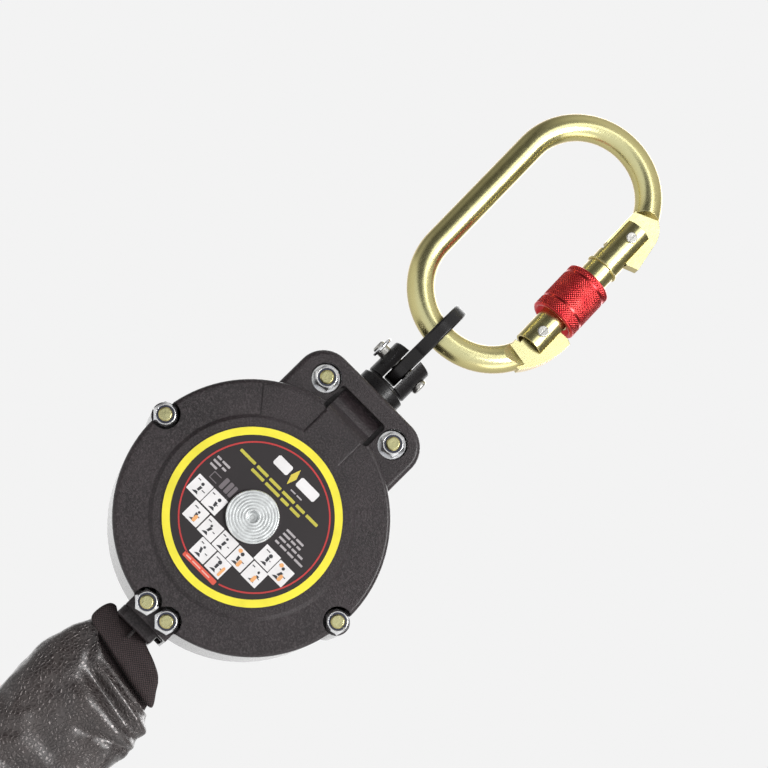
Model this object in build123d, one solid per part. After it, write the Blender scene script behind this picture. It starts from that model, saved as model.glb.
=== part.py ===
from build123d import *
import math
import os

# Self retracting lifeline: a compact webbing block that hangs from a screwgate connector.
# Millimetres. Origin: drum axis at mid-thickness. +Z runs from the webbing exit to the swivel,
# Y is the drum axis and the label faces -Y. The upper connector leans back towards +Y.

os.makedirs("parts", exist_ok=True)

# ---- housing ----
SHELL_RADIUS = 48.2
HALF_DEPTH = 26.0
WALL = 2.5
FRONT_EDGE_ROUND = 1.6
REAR_EDGE_ROUND = 4.5
FACE_DROP = 1.0
PLATFORM_RADIUS = 34.5
CAVITY_RADIUS = 45.4
CAVITY_HALF = HALF_DEPTH - WALL
HEAD_HALF_WIDTH = 27.0
HEAD_TOP = 63.0
HEAD_BASE = 30.0
HEAD_CORNER = 10.5
HEAD_HALF_DEPTH = 20.0
HEAD_CAVITY_HALF = 15.0
HEAD_CAVITY_WIDTH = 23.0
HEAD_CAVITY_TOP = 60.4
RAMP_HALF_WIDTH = 8.8
POCKET_HALF_WIDTH = 10.6
POCKET_FLOOR = 16.9
POCKET_LOW = 45.0
POCKET_HIGH = 56.0
HEAD_EDGE_ROUND = 2.0
SECTOR_STEP = 0.35
SECTOR_EDGE_ANGLE = 49.7
REAR_RIB = (14.0, 33.0)
REAR_RIB_HALF = 1.2
REAR_RIB_PROUD = 0.8
LABEL_RADIUS = 31.5
LABEL_THICKNESS = 0.3

# ---- clamp screws ----
SCREW_RADIUS = 2.5
SCREW_HOLE = 2.6
BOLT_CIRCLE = 46.5
SIDE_ANGLES = (175.3, -5.3)
HEAD_SCREW = (16.35, 53.4)
EXIT_SCREW = (4.75, -46.2)
NUT_FLATS = 8.0
NUT_HEIGHT = 4.7
BOSS_RADIUS = 4.7
HEAD_RECESS = 5.4
RIM_SEAT = 20.0
HEAD_SEAT = 16.4
HEAD_WASHER = 0.8
HEAD_WASHER_RADIUS = 5.0
SCREW_HEAD_RADIUS = 4.2
SCREW_HEAD_HEIGHT = 4.4
SCREW_TIP = 0.6
HEX_SOCKET = 2.3
SOCKET_DEPTH = 2.6
INSERT_RADIUS = 3.15
INSERT_DEPTH = 1.4
NUT_TURN = 15.0

# ---- axle, drum and webbing ----
AXLE_RADIUS = 6.0
AXLE_END_RADIUS = 5.0
AXLE_THREAD = 3.0
AXLE_THREAD_DEPTH = 13.0
AXLE_HEAD_RADIUS = 9.35
AXLE_HEAD_THICKNESS = 1.5
FRONT_HEAD_PROUD = 1.9
REAR_HEAD_PROUD = 1.55
HUB_RADIUS = 19.2
BUSH_OUTER = 8.0
SPIGOT_RADIUS = 12.0
FLANGE_RADIUS = 37.4
FLANGE_INNER_FACE = 10.3
FLANGE_THICKNESS = 2.0
WEBBING_WIDTH = 20.0
WEBBING_THICKNESS = 1.3
WEBBING_PITCH = 1.42
WEBBING_TURNS = 11
COIL_CLEARANCE = 0.15
HUB_PIN_RADIUS = 15.6
HUB_RIVET_ANGLE = 24.0
HUB_ANCHOR_ANGLE = 54.0
SPRING_HUB_RADIUS = 10.4
SPRING_HUB_END = 19.6
COIL_INNER = 19.6
RUN_GAP = 0.06
FIT_GAP = 0.02
BEYOND = 60.0
OVERLAP = 0.1

# ---- steel frame ----
FRAME_OUTER_FACE = 23.3
FRAME_THICKNESS = 2.5
FRAME_RADIUS = 41.0
FRAME_TAB_FACE = 14.5
FRAME_SHELF_LOW = 41.3
BLOCK_HALF_WIDTH = 21.5
BLOCK_LOW = 47.0
BLOCK_HIGH = 59.9
BLOCK_HALF_DEPTH = 11.9
FRAME_NECK = 11.0
FRAME_WINDOW_CIRCLE = 22.0
FRAME_WINDOW_RADIUS = 6.5
SWIVEL_BUSH_RADIUS = 7.5

# ---- ratchet ----
RATCHET_TEETH = 12
RATCHET_OUTER = 40.5
RATCHET_ROOT = 35.0
RATCHET_TIP = 31.0
PAWL_PIVOT = 22.0
PAWL_PIN_RADIUS = 2.0
ANCHOR_PIN_RADIUS = 1.8
PAWL_LENGTH = 17.2
PAWL_BOSS = 3.8
PAWL_NOSE = 2.4
PAWL_BELLY = 2.8
PAWL_FACES = (-17.6, -12.6)
PAWL_ENGAGED = 66.5
PAWL_SWING = 22.0
PAWL_STARTS = (20.0, 200.0)
RATCHET_FACE = 54.0
RATCHET_UNDERCUT = 0.6
RING_RIVET_CIRCLE = 37.9
RATCHET_BACK = -13.0

# ---- spring ----
SPRING_CASE_RADIUS = 36.0
SPRING_CASE_WALL = 1.4
SPRING_STRIP = 0.4
SPRING_WIDTH = 5.2
SPRING_INNER = 11.3
SPRING_TURNS = 10.5
SPRING_CENTRE_Y = 16.8
CASE_FRONT = 12.8
CASE_FLOOR = 13.8
CASE_BACK = 20.7
CASE_COVER_FRONT = 19.8
CASE_BORE = 10.9
CASE_LUG_RADIUS = 2.6
CASE_LUG_FRONT = 16.0
CASE_SCREW_CIRCLE = 38.0
SPRING_PITCH = 2.05

# ---- swivel and eye ----
SHANK_RADIUS = 6.0
SHANK_LOW = 40.9
SWIVEL_NUT_CORNER = 8.66
SWIVEL_NUT_HEIGHT = 5.15
LOCK_PIN_RADIUS = 1.0
LOCK_PIN_Z = 43.6
LOCK_PIN_REACH = 7.4
CLEVIS_PIN_END = -12.2
CLEVIS_HEAD_RADIUS = 3.0
CLEVIS_HEAD_THICKNESS = 1.6
COLLAR_RADIUS = 8.9
BARREL_RADIUS = 8.2
COLLAR_LOW = 63.4
COLLAR_HIGH = 68.6
BARREL_LOW = 69.4
SLOT_FLOOR = 69.6
SLOT_WIDTH = 5.6
EAR_TOP = 83.2
EAR_SWING_RADIUS = 9.3
CLEVIS_PIN_Z = 77.6
CLEVIS_PIN_RADIUS = 2.5
PIN_RING_RADIUS = 3.7
PIN_RING_WIRE = 0.6
PIN_RING_X = -10.4
EYE_THICKNESS = 5.0
EYE_CENTRE_Z = 94.3
EYE_OUTER = 13.8
EYE_HOLE = 8.4
EYE_TONGUE = 6.6

# ---- connector (oval screwgate, 112 x 60, rod 10) ----
ROD_RADIUS = 5.0
ARC_RADIUS = 25.2
CONNECTOR_STRAIGHT = 51.5
LATCH_ARC_END = -22.0
HINGE_ARC_END = 25.0
GATE_X = 23.8
GATE_RADIUS = 5.6
GATE_BORE = 4.9
GATE_LOW = -4.6
GATE_HIGH = 56.0
GATE_WEB = (11.0, 13.0)
PLATE_HALF = 2.4
PLATE_SLOT = 2.75
RIVET_RADIUS = 1.5
RIVET_HEAD = 2.1
RIVET_HEAD_REACH = 6.5
LATCH_Z = 1.0
LATCH_SLOT = 2.0
HINGE_Z = 50.5
HINGE_SWEEP = 8.3
STOP_RING_Z = 36.2
STOP_RING_RADIUS = 6.25
SLEEVE_LOW = 8.5
SLEEVE_LENGTH = 20.3
SLEEVE_RADIUS = 9.0
SLEEVE_MOUTH = 7.5
SLEEVE_GROOVES = (13.6, 26.0)
GATE_SPRING_RADIUS = 3.9
PLUNGER_RADIUS = 4.7
TOP_CONNECTOR_AT = (2.13, 121.1)
TOP_CONNECTOR_LEAN = -1.4
TOP_CONNECTOR_TILT = 9.0

# ---- webbing exit and absorber pack ----
ROLLER_RADIUS = 3.1
ROLLER_HALF = 11.9
GUIDE_X = -1.7
GUIDE_HALF_WIDTH = 8.0
GUIDE_TOP = -51.4
GUIDE_BOTTOM = -55.2
COVER_X = 3.8
COVER_WIDTH = 46.0
COVER_DEPTH = 28.0
COVER_WALL = 2.0
COVER_CORNER = 12.9
COVER_TOP = -60.0
COVER_BOTTOM = -232.0
MOUTH_DROP = 10.0
LOOP_Z = -262.0
LOOP_INNER = 8.0
LOOP_STRAP = 2.5
LOOP_WIDTH = 16.0


# ======================= helpers =======================
def box(x0, x1, y0, y1, z0, z1):
    centre = Pos((x0 + x1) / 2, (y0 + y1) / 2, (z0 + z1) / 2)
    return centre * Box(x1 - x0, y1 - y0, z1 - z0)


def cyl_y(radius, y0, y1, x=0.0, z=0.0):
    return Pos(x, (y0 + y1) / 2, z) * Rot(90, 0, 0) * Cylinder(radius, y1 - y0)


def cyl_z(radius, z0, z1, x=0.0, y=0.0):
    return Pos(x, y, (z0 + z1) / 2) * Cylinder(radius, z1 - z0)


def cyl_x(radius, x0, x1, y=0.0, z=0.0):
    return Pos((x0 + x1) / 2, y, z) * Rot(0, 90, 0) * Cylinder(radius, x1 - x0)


def slab_xz(sketch, y0, y1):
    """A sketch drawn in X and Z, as thick as y0 to y1."""
    plane = Plane(origin=(0, y1, 0), x_dir=(1, 0, 0), z_dir=(0, -1, 0))
    return extrude(plane * sketch, amount=y1 - y0)


def slab_yz(sketch, x0, x1):
    """A sketch drawn in Y and Z, as thick as x0 to x1."""
    plane = Plane(origin=(x0, 0, 0), x_dir=(0, 1, 0), z_dir=(1, 0, 0))
    return extrude(plane * sketch, amount=x1 - x0)


def polar(radius, degrees):
    return radius * math.cos(math.radians(degrees)), radius * math.sin(math.radians(degrees))


def face_of(*pieces):
    """Face inside a closed run of lines and curves."""
    return make_face(Wire([edge for piece in pieces for edge in piece.edges()]))


def group(solids):
    return Compound(children=list(solids))


def rim_screws():
    """Centres of the two side screws and the two exit screws."""
    sides = [polar(BOLT_CIRCLE, angle) for angle in SIDE_ANGLES]
    return sides + [(-EXIT_SCREW[0], EXIT_SCREW[1]), EXIT_SCREW]


def head_screws():
    return [(-HEAD_SCREW[0], HEAD_SCREW[1]), HEAD_SCREW]


def edges_at_y(shape, y, tolerance=0.05):
    return [e for e in shape.edges() if abs(e.center().Y - y) < tolerance
            and e.bounding_box().size.Y < tolerance]


# ======================= housing shells =======================
def head_outline():
    height = HEAD_TOP - HEAD_BASE
    shape = RectangleRounded(2 * HEAD_HALF_WIDTH, height + HEAD_CORNER, HEAD_CORNER)
    return Pos(0, HEAD_BASE + (height - HEAD_CORNER) / 2) * shape


def round_body(depth, edge_round):
    """Round half from y = -depth to 0 with its front edge rounded."""
    body = cyl_y(SHELL_RADIUS, -depth, 0)
    return fillet(edges_at_y(body, -depth), edge_round)


def shell_outside(depth, edge_round):
    body = round_body(depth, edge_round)
    head = slab_xz(head_outline(), -HEAD_HALF_DEPTH, 0)
    head = fillet(edges_at_y(head, -HEAD_HALF_DEPTH), HEAD_EDGE_ROUND)
    body = body + head
    for x, z in rim_screws():
        body = body + cyl_y(BOSS_RADIUS, -RIM_SEAT, 0, x, z)
    exit_x, exit_z = EXIT_SCREW
    mouth = box(-exit_x - BOSS_RADIUS, exit_x + BOSS_RADIUS, -RIM_SEAT, 0, GUIDE_TOP + 0.3, exit_z)
    return body + mouth


def shell_cavity():
    """Room for the drum, the frame and the swivel block."""
    room = cyl_y(CAVITY_RADIUS, -CAVITY_HALF, 1)
    room = room + box(-HEAD_CAVITY_WIDTH, HEAD_CAVITY_WIDTH, -HEAD_CAVITY_HALF, 1, 36, HEAD_CAVITY_TOP)
    side_columns = [cyl_y(BOSS_RADIUS, -CAVITY_HALF, 1, x, z) for x, z in rim_screws()[:2]]
    for column in side_columns:
        room = room - column
    return room


def common_cuts(body):
    body = body - shell_cavity()
    for x, z in rim_screws() + head_screws():
        body = body - cyl_y(SCREW_HOLE, -HALF_DEPTH - 1, 1, x, z)
    for x, z in rim_screws():
        body = body - cyl_y(BOSS_RADIUS + 0.5, -HALF_DEPTH - 1, -RIM_SEAT, x, z)
    for x, z in head_screws():
        body = body - cyl_y(HEAD_RECESS, -HALF_DEPTH - 1, -HEAD_SEAT, x, z)
    body = body - cyl_z(COLLAR_RADIUS + 0.3, HEAD_CAVITY_TOP - 1, HEAD_TOP + 1)
    body = body - cyl_y(AXLE_THREAD + 0.1, -HALF_DEPTH - 1, 1)
    half_opening = EXIT_SCREW[0] + SCREW_HOLE + 1.4
    return body - box(-half_opening, half_opening, -13.6, 1, -53, -43)


def platform():
    """Raised round seat of the label with a sloped skirt."""
    low = FACE_DROP + 0.2
    cone = Cone(PLATFORM_RADIUS + 1.6, PLATFORM_RADIUS, low)
    return Pos(0, -HALF_DEPTH + low / 2, 0) * Rot(90, 0, 0) * cone


def swivel_ramp():
    """Plateau from the label seat to the head, ending in a soft valley before the head bar."""
    front = -HALF_DEPTH
    outline = make_face(Polyline(
        (front, 25), (front, 44.6), (front + 1.2, 46.2), (-21.6, 49.0), (-21.4, 50.2), (-20.9, 51.2),
        (-17.6, 54.6), (-17.0, 56.0), (-12.0, 56.0), (-12.0, 25), close=True))
    ramp = slab_yz(outline, -RAMP_HALF_WIDTH, RAMP_HALF_WIDTH)
    long_edges = ramp.edges().filter_by(Axis.Z).filter_by(lambda e: abs(e.center().Y - front) < 0.1)
    return fillet(long_edges, 0.9)


def ramp_pocket():
    """Hollow between the head screws that the ramp runs down into."""
    front = -HALF_DEPTH - OVERLAP
    pocket = box(-POCKET_HALF_WIDTH, POCKET_HALF_WIDTH, front, -POCKET_FLOOR, POCKET_LOW, POCKET_HIGH)
    return fillet(pocket.edges().filter_by(Axis.Y), 1.5)


def raised_sector():
    """Slightly raised sector of the face on both sides of the ramp, ending in radial steps."""
    step = SECTOR_STEP
    outer = SHELL_RADIUS - FRONT_EDGE_ROUND - 0.2
    start = polar(outer, SECTOR_EDGE_ANGLE)
    end = polar(outer, 180 - SECTOR_EDGE_ANGLE)
    crest = polar(outer, 90.0)
    edge = ThreePointArc(start, crest, end)
    sector = face_of(Line((0, 0), start), edge, Line(end, (0, 0)))
    front = -HALF_DEPTH + FACE_DROP - step
    return slab_xz(sector, front, front + 2 * step) - cyl_y(PLATFORM_RADIUS - 1, -BEYOND, 0)


def front_shell():
    body = shell_outside(HALF_DEPTH - FACE_DROP, FRONT_EDGE_ROUND)
    body = body + platform() + raised_sector()
    body = body - ramp_pocket()
    ramp = swivel_ramp()
    body = body + ramp
    return common_cuts(body)


def rear_shell():
    body = shell_outside(HALF_DEPTH, REAR_EDGE_ROUND)
    start, end = REAR_RIB
    rib = box(start, end, -HALF_DEPTH - REAR_RIB_PROUD, -HALF_DEPTH + OVERLAP, -REAR_RIB_HALF, REAR_RIB_HALF)
    for i in range(6):
        body = body + Rot(0, 30 + 60 * i, 0) * rib
    body = common_cuts(body)
    return mirror(body, about=Plane.XZ)


def label_disc():
    disc = cyl_y(LABEL_RADIUS, -HALF_DEPTH - LABEL_THICKNESS, -HALF_DEPTH)
    return disc - cyl_y(AXLE_THREAD + RUN_GAP, -BEYOND, 0)


# ======================= axle and clamp fasteners =======================
def axle_screw(head_face, head_thickness, head_radius):
    """Large flat head with a hex socket, head face towards -Y."""
    under = head_face + head_thickness
    head = cyl_y(head_radius, head_face, under)
    head = chamfer(edges_at_y(head, head_face), 0.35)
    shank = cyl_y(AXLE_THREAD, under - OVERLAP, -AXLE_THREAD_DEPTH)
    hexagon = RegularPolygon(radius=HEX_SOCKET, side_count=6)
    socket = slab_xz(hexagon, head_face - OVERLAP, head_face + SOCKET_DEPTH)
    return head + shank - socket


def front_axle_screw():
    return axle_screw(-HALF_DEPTH - FRONT_HEAD_PROUD, AXLE_HEAD_THICKNESS, AXLE_HEAD_RADIUS)


def rear_axle_screw():
    return Rot(0, 0, 180) * axle_screw(-HALF_DEPTH - REAR_HEAD_PROUD, AXLE_HEAD_THICKNESS, AXLE_HEAD_RADIUS)


def drum_axle():
    shoulder = FRAME_OUTER_FACE - FRAME_THICKNESS - FIT_GAP
    axle = cyl_y(AXLE_RADIUS, -shoulder, shoulder)
    axle = axle + cyl_y(AXLE_END_RADIUS, -FRAME_OUTER_FACE, FRAME_OUTER_FACE)
    bore = AXLE_THREAD + FIT_GAP
    inner_end = AXLE_THREAD_DEPTH - 1
    return axle - cyl_y(bore, -BEYOND, -inner_end) - cyl_y(bore, inner_end, BEYOND)


def screw(x, z, seat, tip):
    """Clamp screw: socket head behind the rear seat, plain end proud of the lock nut."""
    back = seat + SCREW_HEAD_HEIGHT
    head = cyl_y(SCREW_HEAD_RADIUS, seat, back, x, z)
    head = fillet(edges_at_y(head, back), 0.6)
    shank = cyl_y(SCREW_RADIUS, tip, seat + OVERLAP, x, z)
    shank = chamfer(edges_at_y(shank, tip), 0.5)
    hexagon = Pos(x, z) * RegularPolygon(radius=HEX_SOCKET, side_count=6)
    return head + shank - slab_xz(hexagon, back - SOCKET_DEPTH, back + OVERLAP)


def clamp_screws():
    rim_tip = -RIM_SEAT - NUT_HEIGHT - SCREW_TIP
    rim = [screw(x, z, RIM_SEAT, rim_tip) for x, z in rim_screws()]
    head_tip = -HEAD_SEAT - HEAD_WASHER - NUT_HEIGHT - SCREW_TIP
    head = [screw(x, z, HEAD_SEAT, head_tip) for x, z in head_screws()]
    return group(rim + head)


def nut_seats():
    rim = [(x, z, -RIM_SEAT) for x, z in rim_screws()]
    head = [(x, z, -HEAD_SEAT - HEAD_WASHER) for x, z in head_screws()]
    return rim + head


def lock_nut(x, z, seat):
    """Hex nut whose top is turned down to a round collar around the nylon insert."""
    corner = NUT_FLATS / 2 / math.cos(math.pi / 6)
    hexagon = Pos(x, z) * Rot(0, 0, NUT_TURN) * RegularPolygon(radius=corner, side_count=6)
    nut = slab_xz(hexagon, seat - NUT_HEIGHT, seat)
    cap = cyl_y(corner + 0.4, seat - NUT_HEIGHT, seat, x, z)
    cap = chamfer(edges_at_y(cap, seat - NUT_HEIGHT), length=1.5, length2=1.5)
    nut = nut & cap
    nut = nut - cyl_y(SCREW_RADIUS + FIT_GAP, -BEYOND, 0, x, z)
    return nut - cyl_y(INSERT_RADIUS + RUN_GAP, -BEYOND, seat - NUT_HEIGHT + INSERT_DEPTH, x, z)


def nut_insert(x, z, seat):
    top = seat - NUT_HEIGHT
    ring = cyl_y(INSERT_RADIUS, top + 0.15, top + INSERT_DEPTH - FIT_GAP, x, z)
    return ring - cyl_y(SCREW_RADIUS + FIT_GAP, -BEYOND, 0, x, z)


def head_washer(x, z):
    ring = cyl_y(HEAD_WASHER_RADIUS, -HEAD_SEAT - HEAD_WASHER, -HEAD_SEAT, x, z)
    return ring - cyl_y(SCREW_HOLE, -BEYOND, 0, x, z)


# ======================= steel frame =======================
def frame_plate():
    """Pressed front plate: disc, shelf over the drum and a tab with two ears on the block."""
    inner_face = -FRAME_OUTER_FACE + FRAME_THICKNESS
    disc = cyl_y(FRAME_RADIUS, -FRAME_OUTER_FACE, inner_face)
    neck_top = FRAME_SHELF_LOW + FRAME_THICKNESS
    disc = disc + box(-FRAME_NECK, FRAME_NECK, -FRAME_OUTER_FACE, inner_face, 36, neck_top)
    tab_back = -FRAME_TAB_FACE + FRAME_THICKNESS
    shelf = box(-FRAME_NECK, FRAME_NECK, -FRAME_OUTER_FACE, tab_back, FRAME_SHELF_LOW, neck_top)
    tab = box(-FRAME_NECK, FRAME_NECK, -FRAME_TAB_FACE, tab_back, FRAME_SHELF_LOW, BLOCK_HIGH)
    ears = box(-BLOCK_HALF_WIDTH, BLOCK_HALF_WIDTH, -FRAME_TAB_FACE, tab_back, BLOCK_LOW, BLOCK_HIGH)
    ears = fillet(ears.edges().filter_by(Axis.Y), 5.0)
    plate = disc + shelf + tab + ears
    plate = plate - cyl_y(AXLE_END_RADIUS + FIT_GAP, -BEYOND, 0)
    for x, z in head_screws():
        plate = plate - cyl_y(SCREW_HOLE, -BEYOND, 0, x, z)
    return plate


def front_frame():
    plate = frame_plate()
    for x, z in ring_rivet_places():
        plate = plate - cyl_y(RIVET_RADIUS + FIT_GAP, -BEYOND, 0, x, z)
    for i in range(6):
        x, z = polar(FRAME_WINDOW_CIRCLE, 60 * i)
        plate = plate - cyl_y(FRAME_WINDOW_RADIUS, -BEYOND, 0, x, z)
    return plate


def rear_frame():
    plate = Rot(0, 0, 180) * frame_plate()
    for x, z in case_screw_places():
        plate = plate - cyl_y(RIVET_RADIUS + FIT_GAP, 0, BEYOND, x, z)
    return plate


def swivel_block():
    block = box(-BLOCK_HALF_WIDTH, BLOCK_HALF_WIDTH, -BLOCK_HALF_DEPTH, BLOCK_HALF_DEPTH,
                BLOCK_LOW, BLOCK_HIGH)
    block = fillet(block.edges().filter_by(Axis.Y), 3.0)
    block = block - cyl_z(SWIVEL_BUSH_RADIUS + FIT_GAP, 40, 70)
    for x, z in head_screws():
        block = block - cyl_y(SCREW_HOLE, -BEYOND, BEYOND, x, z)
    return block


def swivel_bush():
    flange_top = BLOCK_HIGH + 1.0
    bush = cyl_z(SWIVEL_BUSH_RADIUS, BLOCK_LOW, flange_top)
    bush = bush + cyl_z(SWIVEL_BUSH_RADIUS + 1.1, BLOCK_HIGH + FIT_GAP, flange_top)
    return bush - cyl_z(SHANK_RADIUS + RUN_GAP, 40, 70)


def thrust_washer():
    return cyl_z(10.0, BLOCK_LOW - 0.75, BLOCK_LOW - 0.05) - cyl_z(SHANK_RADIUS + RUN_GAP, 40, 50)


# ======================= swivel =======================
def swivel_clevis():
    """Shank, collar, groove and the two ears of the clevis in one turned piece."""
    body = cyl_z(SHANK_RADIUS, SHANK_LOW, 62)
    body = body + cyl_z(8.3, BLOCK_HIGH + 1.06, COLLAR_LOW + 0.1)
    collar = cyl_z(COLLAR_RADIUS, COLLAR_LOW, COLLAR_HIGH)
    collar = chamfer(collar.edges().filter_by(GeomType.CIRCLE), 0.35)
    body = body + collar + cyl_z(BARREL_RADIUS - 0.6, COLLAR_HIGH - 0.1, BARREL_LOW + 0.1)
    barrel = cyl_z(BARREL_RADIUS, BARREL_LOW, EAR_TOP)
    barrel = fillet(barrel.edges().filter_by(GeomType.CIRCLE), 0.7)
    rounded = cyl_x(EAR_SWING_RADIUS, -12, 12, 0, CLEVIS_PIN_Z)
    base = box(-12, 12, -12, 12, BARREL_LOW - 1, CLEVIS_PIN_Z)
    barrel = barrel & (rounded + base)
    body = body + barrel
    body = body - box(-SLOT_WIDTH / 2, SLOT_WIDTH / 2, -12, 12, SLOT_FLOOR, 90)
    body = body - cyl_x(CLEVIS_PIN_RADIUS + FIT_GAP, -12, 12, 0, CLEVIS_PIN_Z)
    return body - cyl_x(LOCK_PIN_RADIUS + FIT_GAP, -12, 12, 0, LOCK_PIN_Z)


def swivel_nut():
    hexagon = Pos(0, 0, SHANK_LOW + OVERLAP) * RegularPolygon(radius=SWIVEL_NUT_CORNER, side_count=6)
    nut = extrude(hexagon, amount=SWIVEL_NUT_HEIGHT)
    nut = nut - cyl_z(SHANK_RADIUS + FIT_GAP, 40, 50)
    return nut - cyl_x(LOCK_PIN_RADIUS + FIT_GAP, -12, 12, 0, LOCK_PIN_Z)


def swivel_lock_pin():
    return cyl_x(LOCK_PIN_RADIUS, -LOCK_PIN_REACH, LOCK_PIN_REACH, 0, LOCK_PIN_Z)


def clevis_pin():
    shank = cyl_x(CLEVIS_PIN_RADIUS, CLEVIS_PIN_END, BARREL_RADIUS + OVERLAP, 0, CLEVIS_PIN_Z)
    shank = chamfer(shank.edges().group_by(Axis.X)[0], 0.6)
    head_end = BARREL_RADIUS + CLEVIS_HEAD_THICKNESS
    head = cyl_x(CLEVIS_HEAD_RADIUS, BARREL_RADIUS + RUN_GAP, head_end, 0, CLEVIS_PIN_Z)
    head = fillet(head.edges().group_by(Axis.X)[-1], 0.9)
    return shank + head - ring_around_pin(PIN_RING_WIRE + 0.1)


def ring_around_pin(wire_radius):
    ring = Rot(0, 90, 0) * Torus(PIN_RING_RADIUS, wire_radius)
    return Pos(PIN_RING_X, -PIN_RING_RADIUS, CLEVIS_PIN_Z) * ring


def pin_ring():
    """Split ring through the cross hole at the end of the clevis pin."""
    return ring_around_pin(PIN_RING_WIRE)


def eye_plate():
    ring = Pos(0, EYE_CENTRE_Z) * Circle(EYE_OUTER)
    neck = make_face(Polyline((-EYE_TONGUE, CLEVIS_PIN_Z), (-EYE_OUTER + 1.2, EYE_CENTRE_Z - 4),
                              (EYE_OUTER - 1.2, EYE_CENTRE_Z - 4), (EYE_TONGUE, CLEVIS_PIN_Z), close=True))
    tongue = Pos(0, CLEVIS_PIN_Z) * Circle(EYE_TONGUE)
    outline = ring + neck + tongue - Pos(0, EYE_CENTRE_Z) * Circle(EYE_HOLE)
    plate = slab_yz(outline, -EYE_THICKNESS / 2, EYE_THICKNESS / 2)
    plate = fillet(plate.edges().filter_by(lambda e: e.bounding_box().size.X < 0.01), 0.8)
    return plate - cyl_x(CLEVIS_PIN_RADIUS + RUN_GAP, -5, 5, 0, CLEVIS_PIN_Z)


# ======================= ratchet =======================
def ring_rivet_places():
    return [polar(RING_RIVET_CIRCLE, 60 * i + 30) for i in range(6)]


def ratchet_ring():
    """Fixed ring with internal saw teeth that the pawls catch when the drum pays out fast."""
    ring = cyl_y(RATCHET_OUTER, -FRAME_OUTER_FACE + FRAME_THICKNESS, RATCHET_BACK)
    pitch = 360 / RATCHET_TEETH
    points = []
    for tooth in range(RATCHET_TEETH):
        face = RATCHET_FACE + tooth * pitch
        points.append(polar(RATCHET_ROOT, face - RATCHET_UNDERCUT))
        points.append(polar(RATCHET_TIP, face))
    ring = ring - slab_xz(make_face(Polyline(*points, close=True)), -BEYOND, 0)
    for x, z in ring_rivet_places():
        ring = ring - cyl_y(RIVET_RADIUS + FIT_GAP, -BEYOND, 0, x, z)
    return ring


def ring_rivet(x, z):
    return cyl_y(RIVET_RADIUS, -FRAME_OUTER_FACE, RATCHET_BACK, x, z)


def pawl(start):
    """Pawl drawn tucked in; it swings out by PAWL_SWING to catch a tooth."""
    x, z = polar(PAWL_PIVOT, start)
    nose = Polyline((0, PAWL_BOSS), (PAWL_LENGTH - PAWL_NOSE, PAWL_NOSE), (PAWL_LENGTH, -0.3),
                    (PAWL_LENGTH - 4.5, -PAWL_BELLY), (0, -PAWL_BOSS), close=True)
    outline = make_face(nose) + Circle(PAWL_BOSS)
    placed = Pos(x, z) * Rot(0, 0, start + PAWL_ENGAGED + PAWL_SWING) * outline
    return slab_xz(placed, *PAWL_FACES) - cyl_y(PAWL_PIN_RADIUS + RUN_GAP, -BEYOND, 0, x, z)


def pawl_pin(start):
    x, z = polar(PAWL_PIVOT, start)
    return cyl_y(PAWL_PIN_RADIUS, -20.4, -FLANGE_INNER_FACE - 0.02, x, z)


def pawl_spring(start):
    """Small torsion coil around the pawl pin."""
    x, z = polar(PAWL_PIVOT, start)
    path = Helix(pitch=0.75, height=1.6, radius=PAWL_PIN_RADIUS + 0.9)
    wire = sweep(Plane(origin=path @ 0, z_dir=path % 0) * Circle(0.3), path=path)
    return Pos(x, -18.0, z) * Rot(90, 0, 0) * wire


# ======================= drum =======================
def spool_rivet_places():
    return [polar(HUB_PIN_RADIUS, 60 * i + HUB_RIVET_ANGLE) for i in range(6)]


def lead_coil_radius():
    """Middle of the webbing that leaves the coil, clear of the outermost wrap."""
    outermost = COIL_INNER + WEBBING_PITCH * WEBBING_TURNS + WEBBING_THICKNESS
    return outermost + COIL_CLEARANCE + WEBBING_THICKNESS / 2


def lead_roller_radius():
    return ROLLER_RADIUS + WEBBING_THICKNESS / 2 + 0.15


def coil_end_angle():
    """Angle where the webbing leaves the coil towards the left guide roller."""
    distance = math.hypot(*EXIT_SCREW)
    towards_roller = math.atan2(EXIT_SCREW[1], -EXIT_SCREW[0])
    spread = math.acos((lead_coil_radius() + lead_roller_radius()) / distance)
    return towards_roller - spread


def webbing_x():
    """X of the webbing where it hangs down through the exit guide."""
    return -EXIT_SCREW[0] + lead_roller_radius()


def winding_edge(radius, pitch, half_turns):
    """Half circles about two centres in turn, each one half a pitch larger than the last."""
    arcs = []
    for i in range(half_turns):
        side = -1 if i % 2 else 1
        centre = -side * pitch / 4
        reach = side * (radius + pitch / 4 + i * pitch / 2)
        arcs.append(ThreePointArc((centre + reach, 0), (centre, reach), (centre - reach, 0)))
    return arcs


def winding(inner, pitch, thickness, half_turns, end_angle, half_width):
    """Strip wound outwards, ending at end_angle in degrees, centred on Y = 0."""
    inside = winding_edge(inner, pitch, half_turns)
    outside = winding_edge(inner + thickness, pitch, half_turns)
    ends = [Line(inside[-1] @ 1, outside[-1] @ 1), Line(inside[0] @ 0, outside[0] @ 0)]
    face = face_of(*inside, *outside, *ends)
    turned = Rot(0, 0, end_angle - 180 * half_turns) * face
    return slab_xz(turned, -half_width, half_width)


def webbing_coil():
    return winding(COIL_INNER, WEBBING_PITCH, WEBBING_THICKNESS, 2 * WEBBING_TURNS,
                   math.degrees(coil_end_angle()), WEBBING_WIDTH / 2)


def anchor_pin_place():
    return polar(HUB_PIN_RADIUS, HUB_ANCHOR_ANGLE)


def webbing_anchor_pin():
    x, z = anchor_pin_place()
    reach = FLANGE_INNER_FACE - RUN_GAP
    return cyl_y(ANCHOR_PIN_RADIUS, -reach, reach, x, z)


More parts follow.
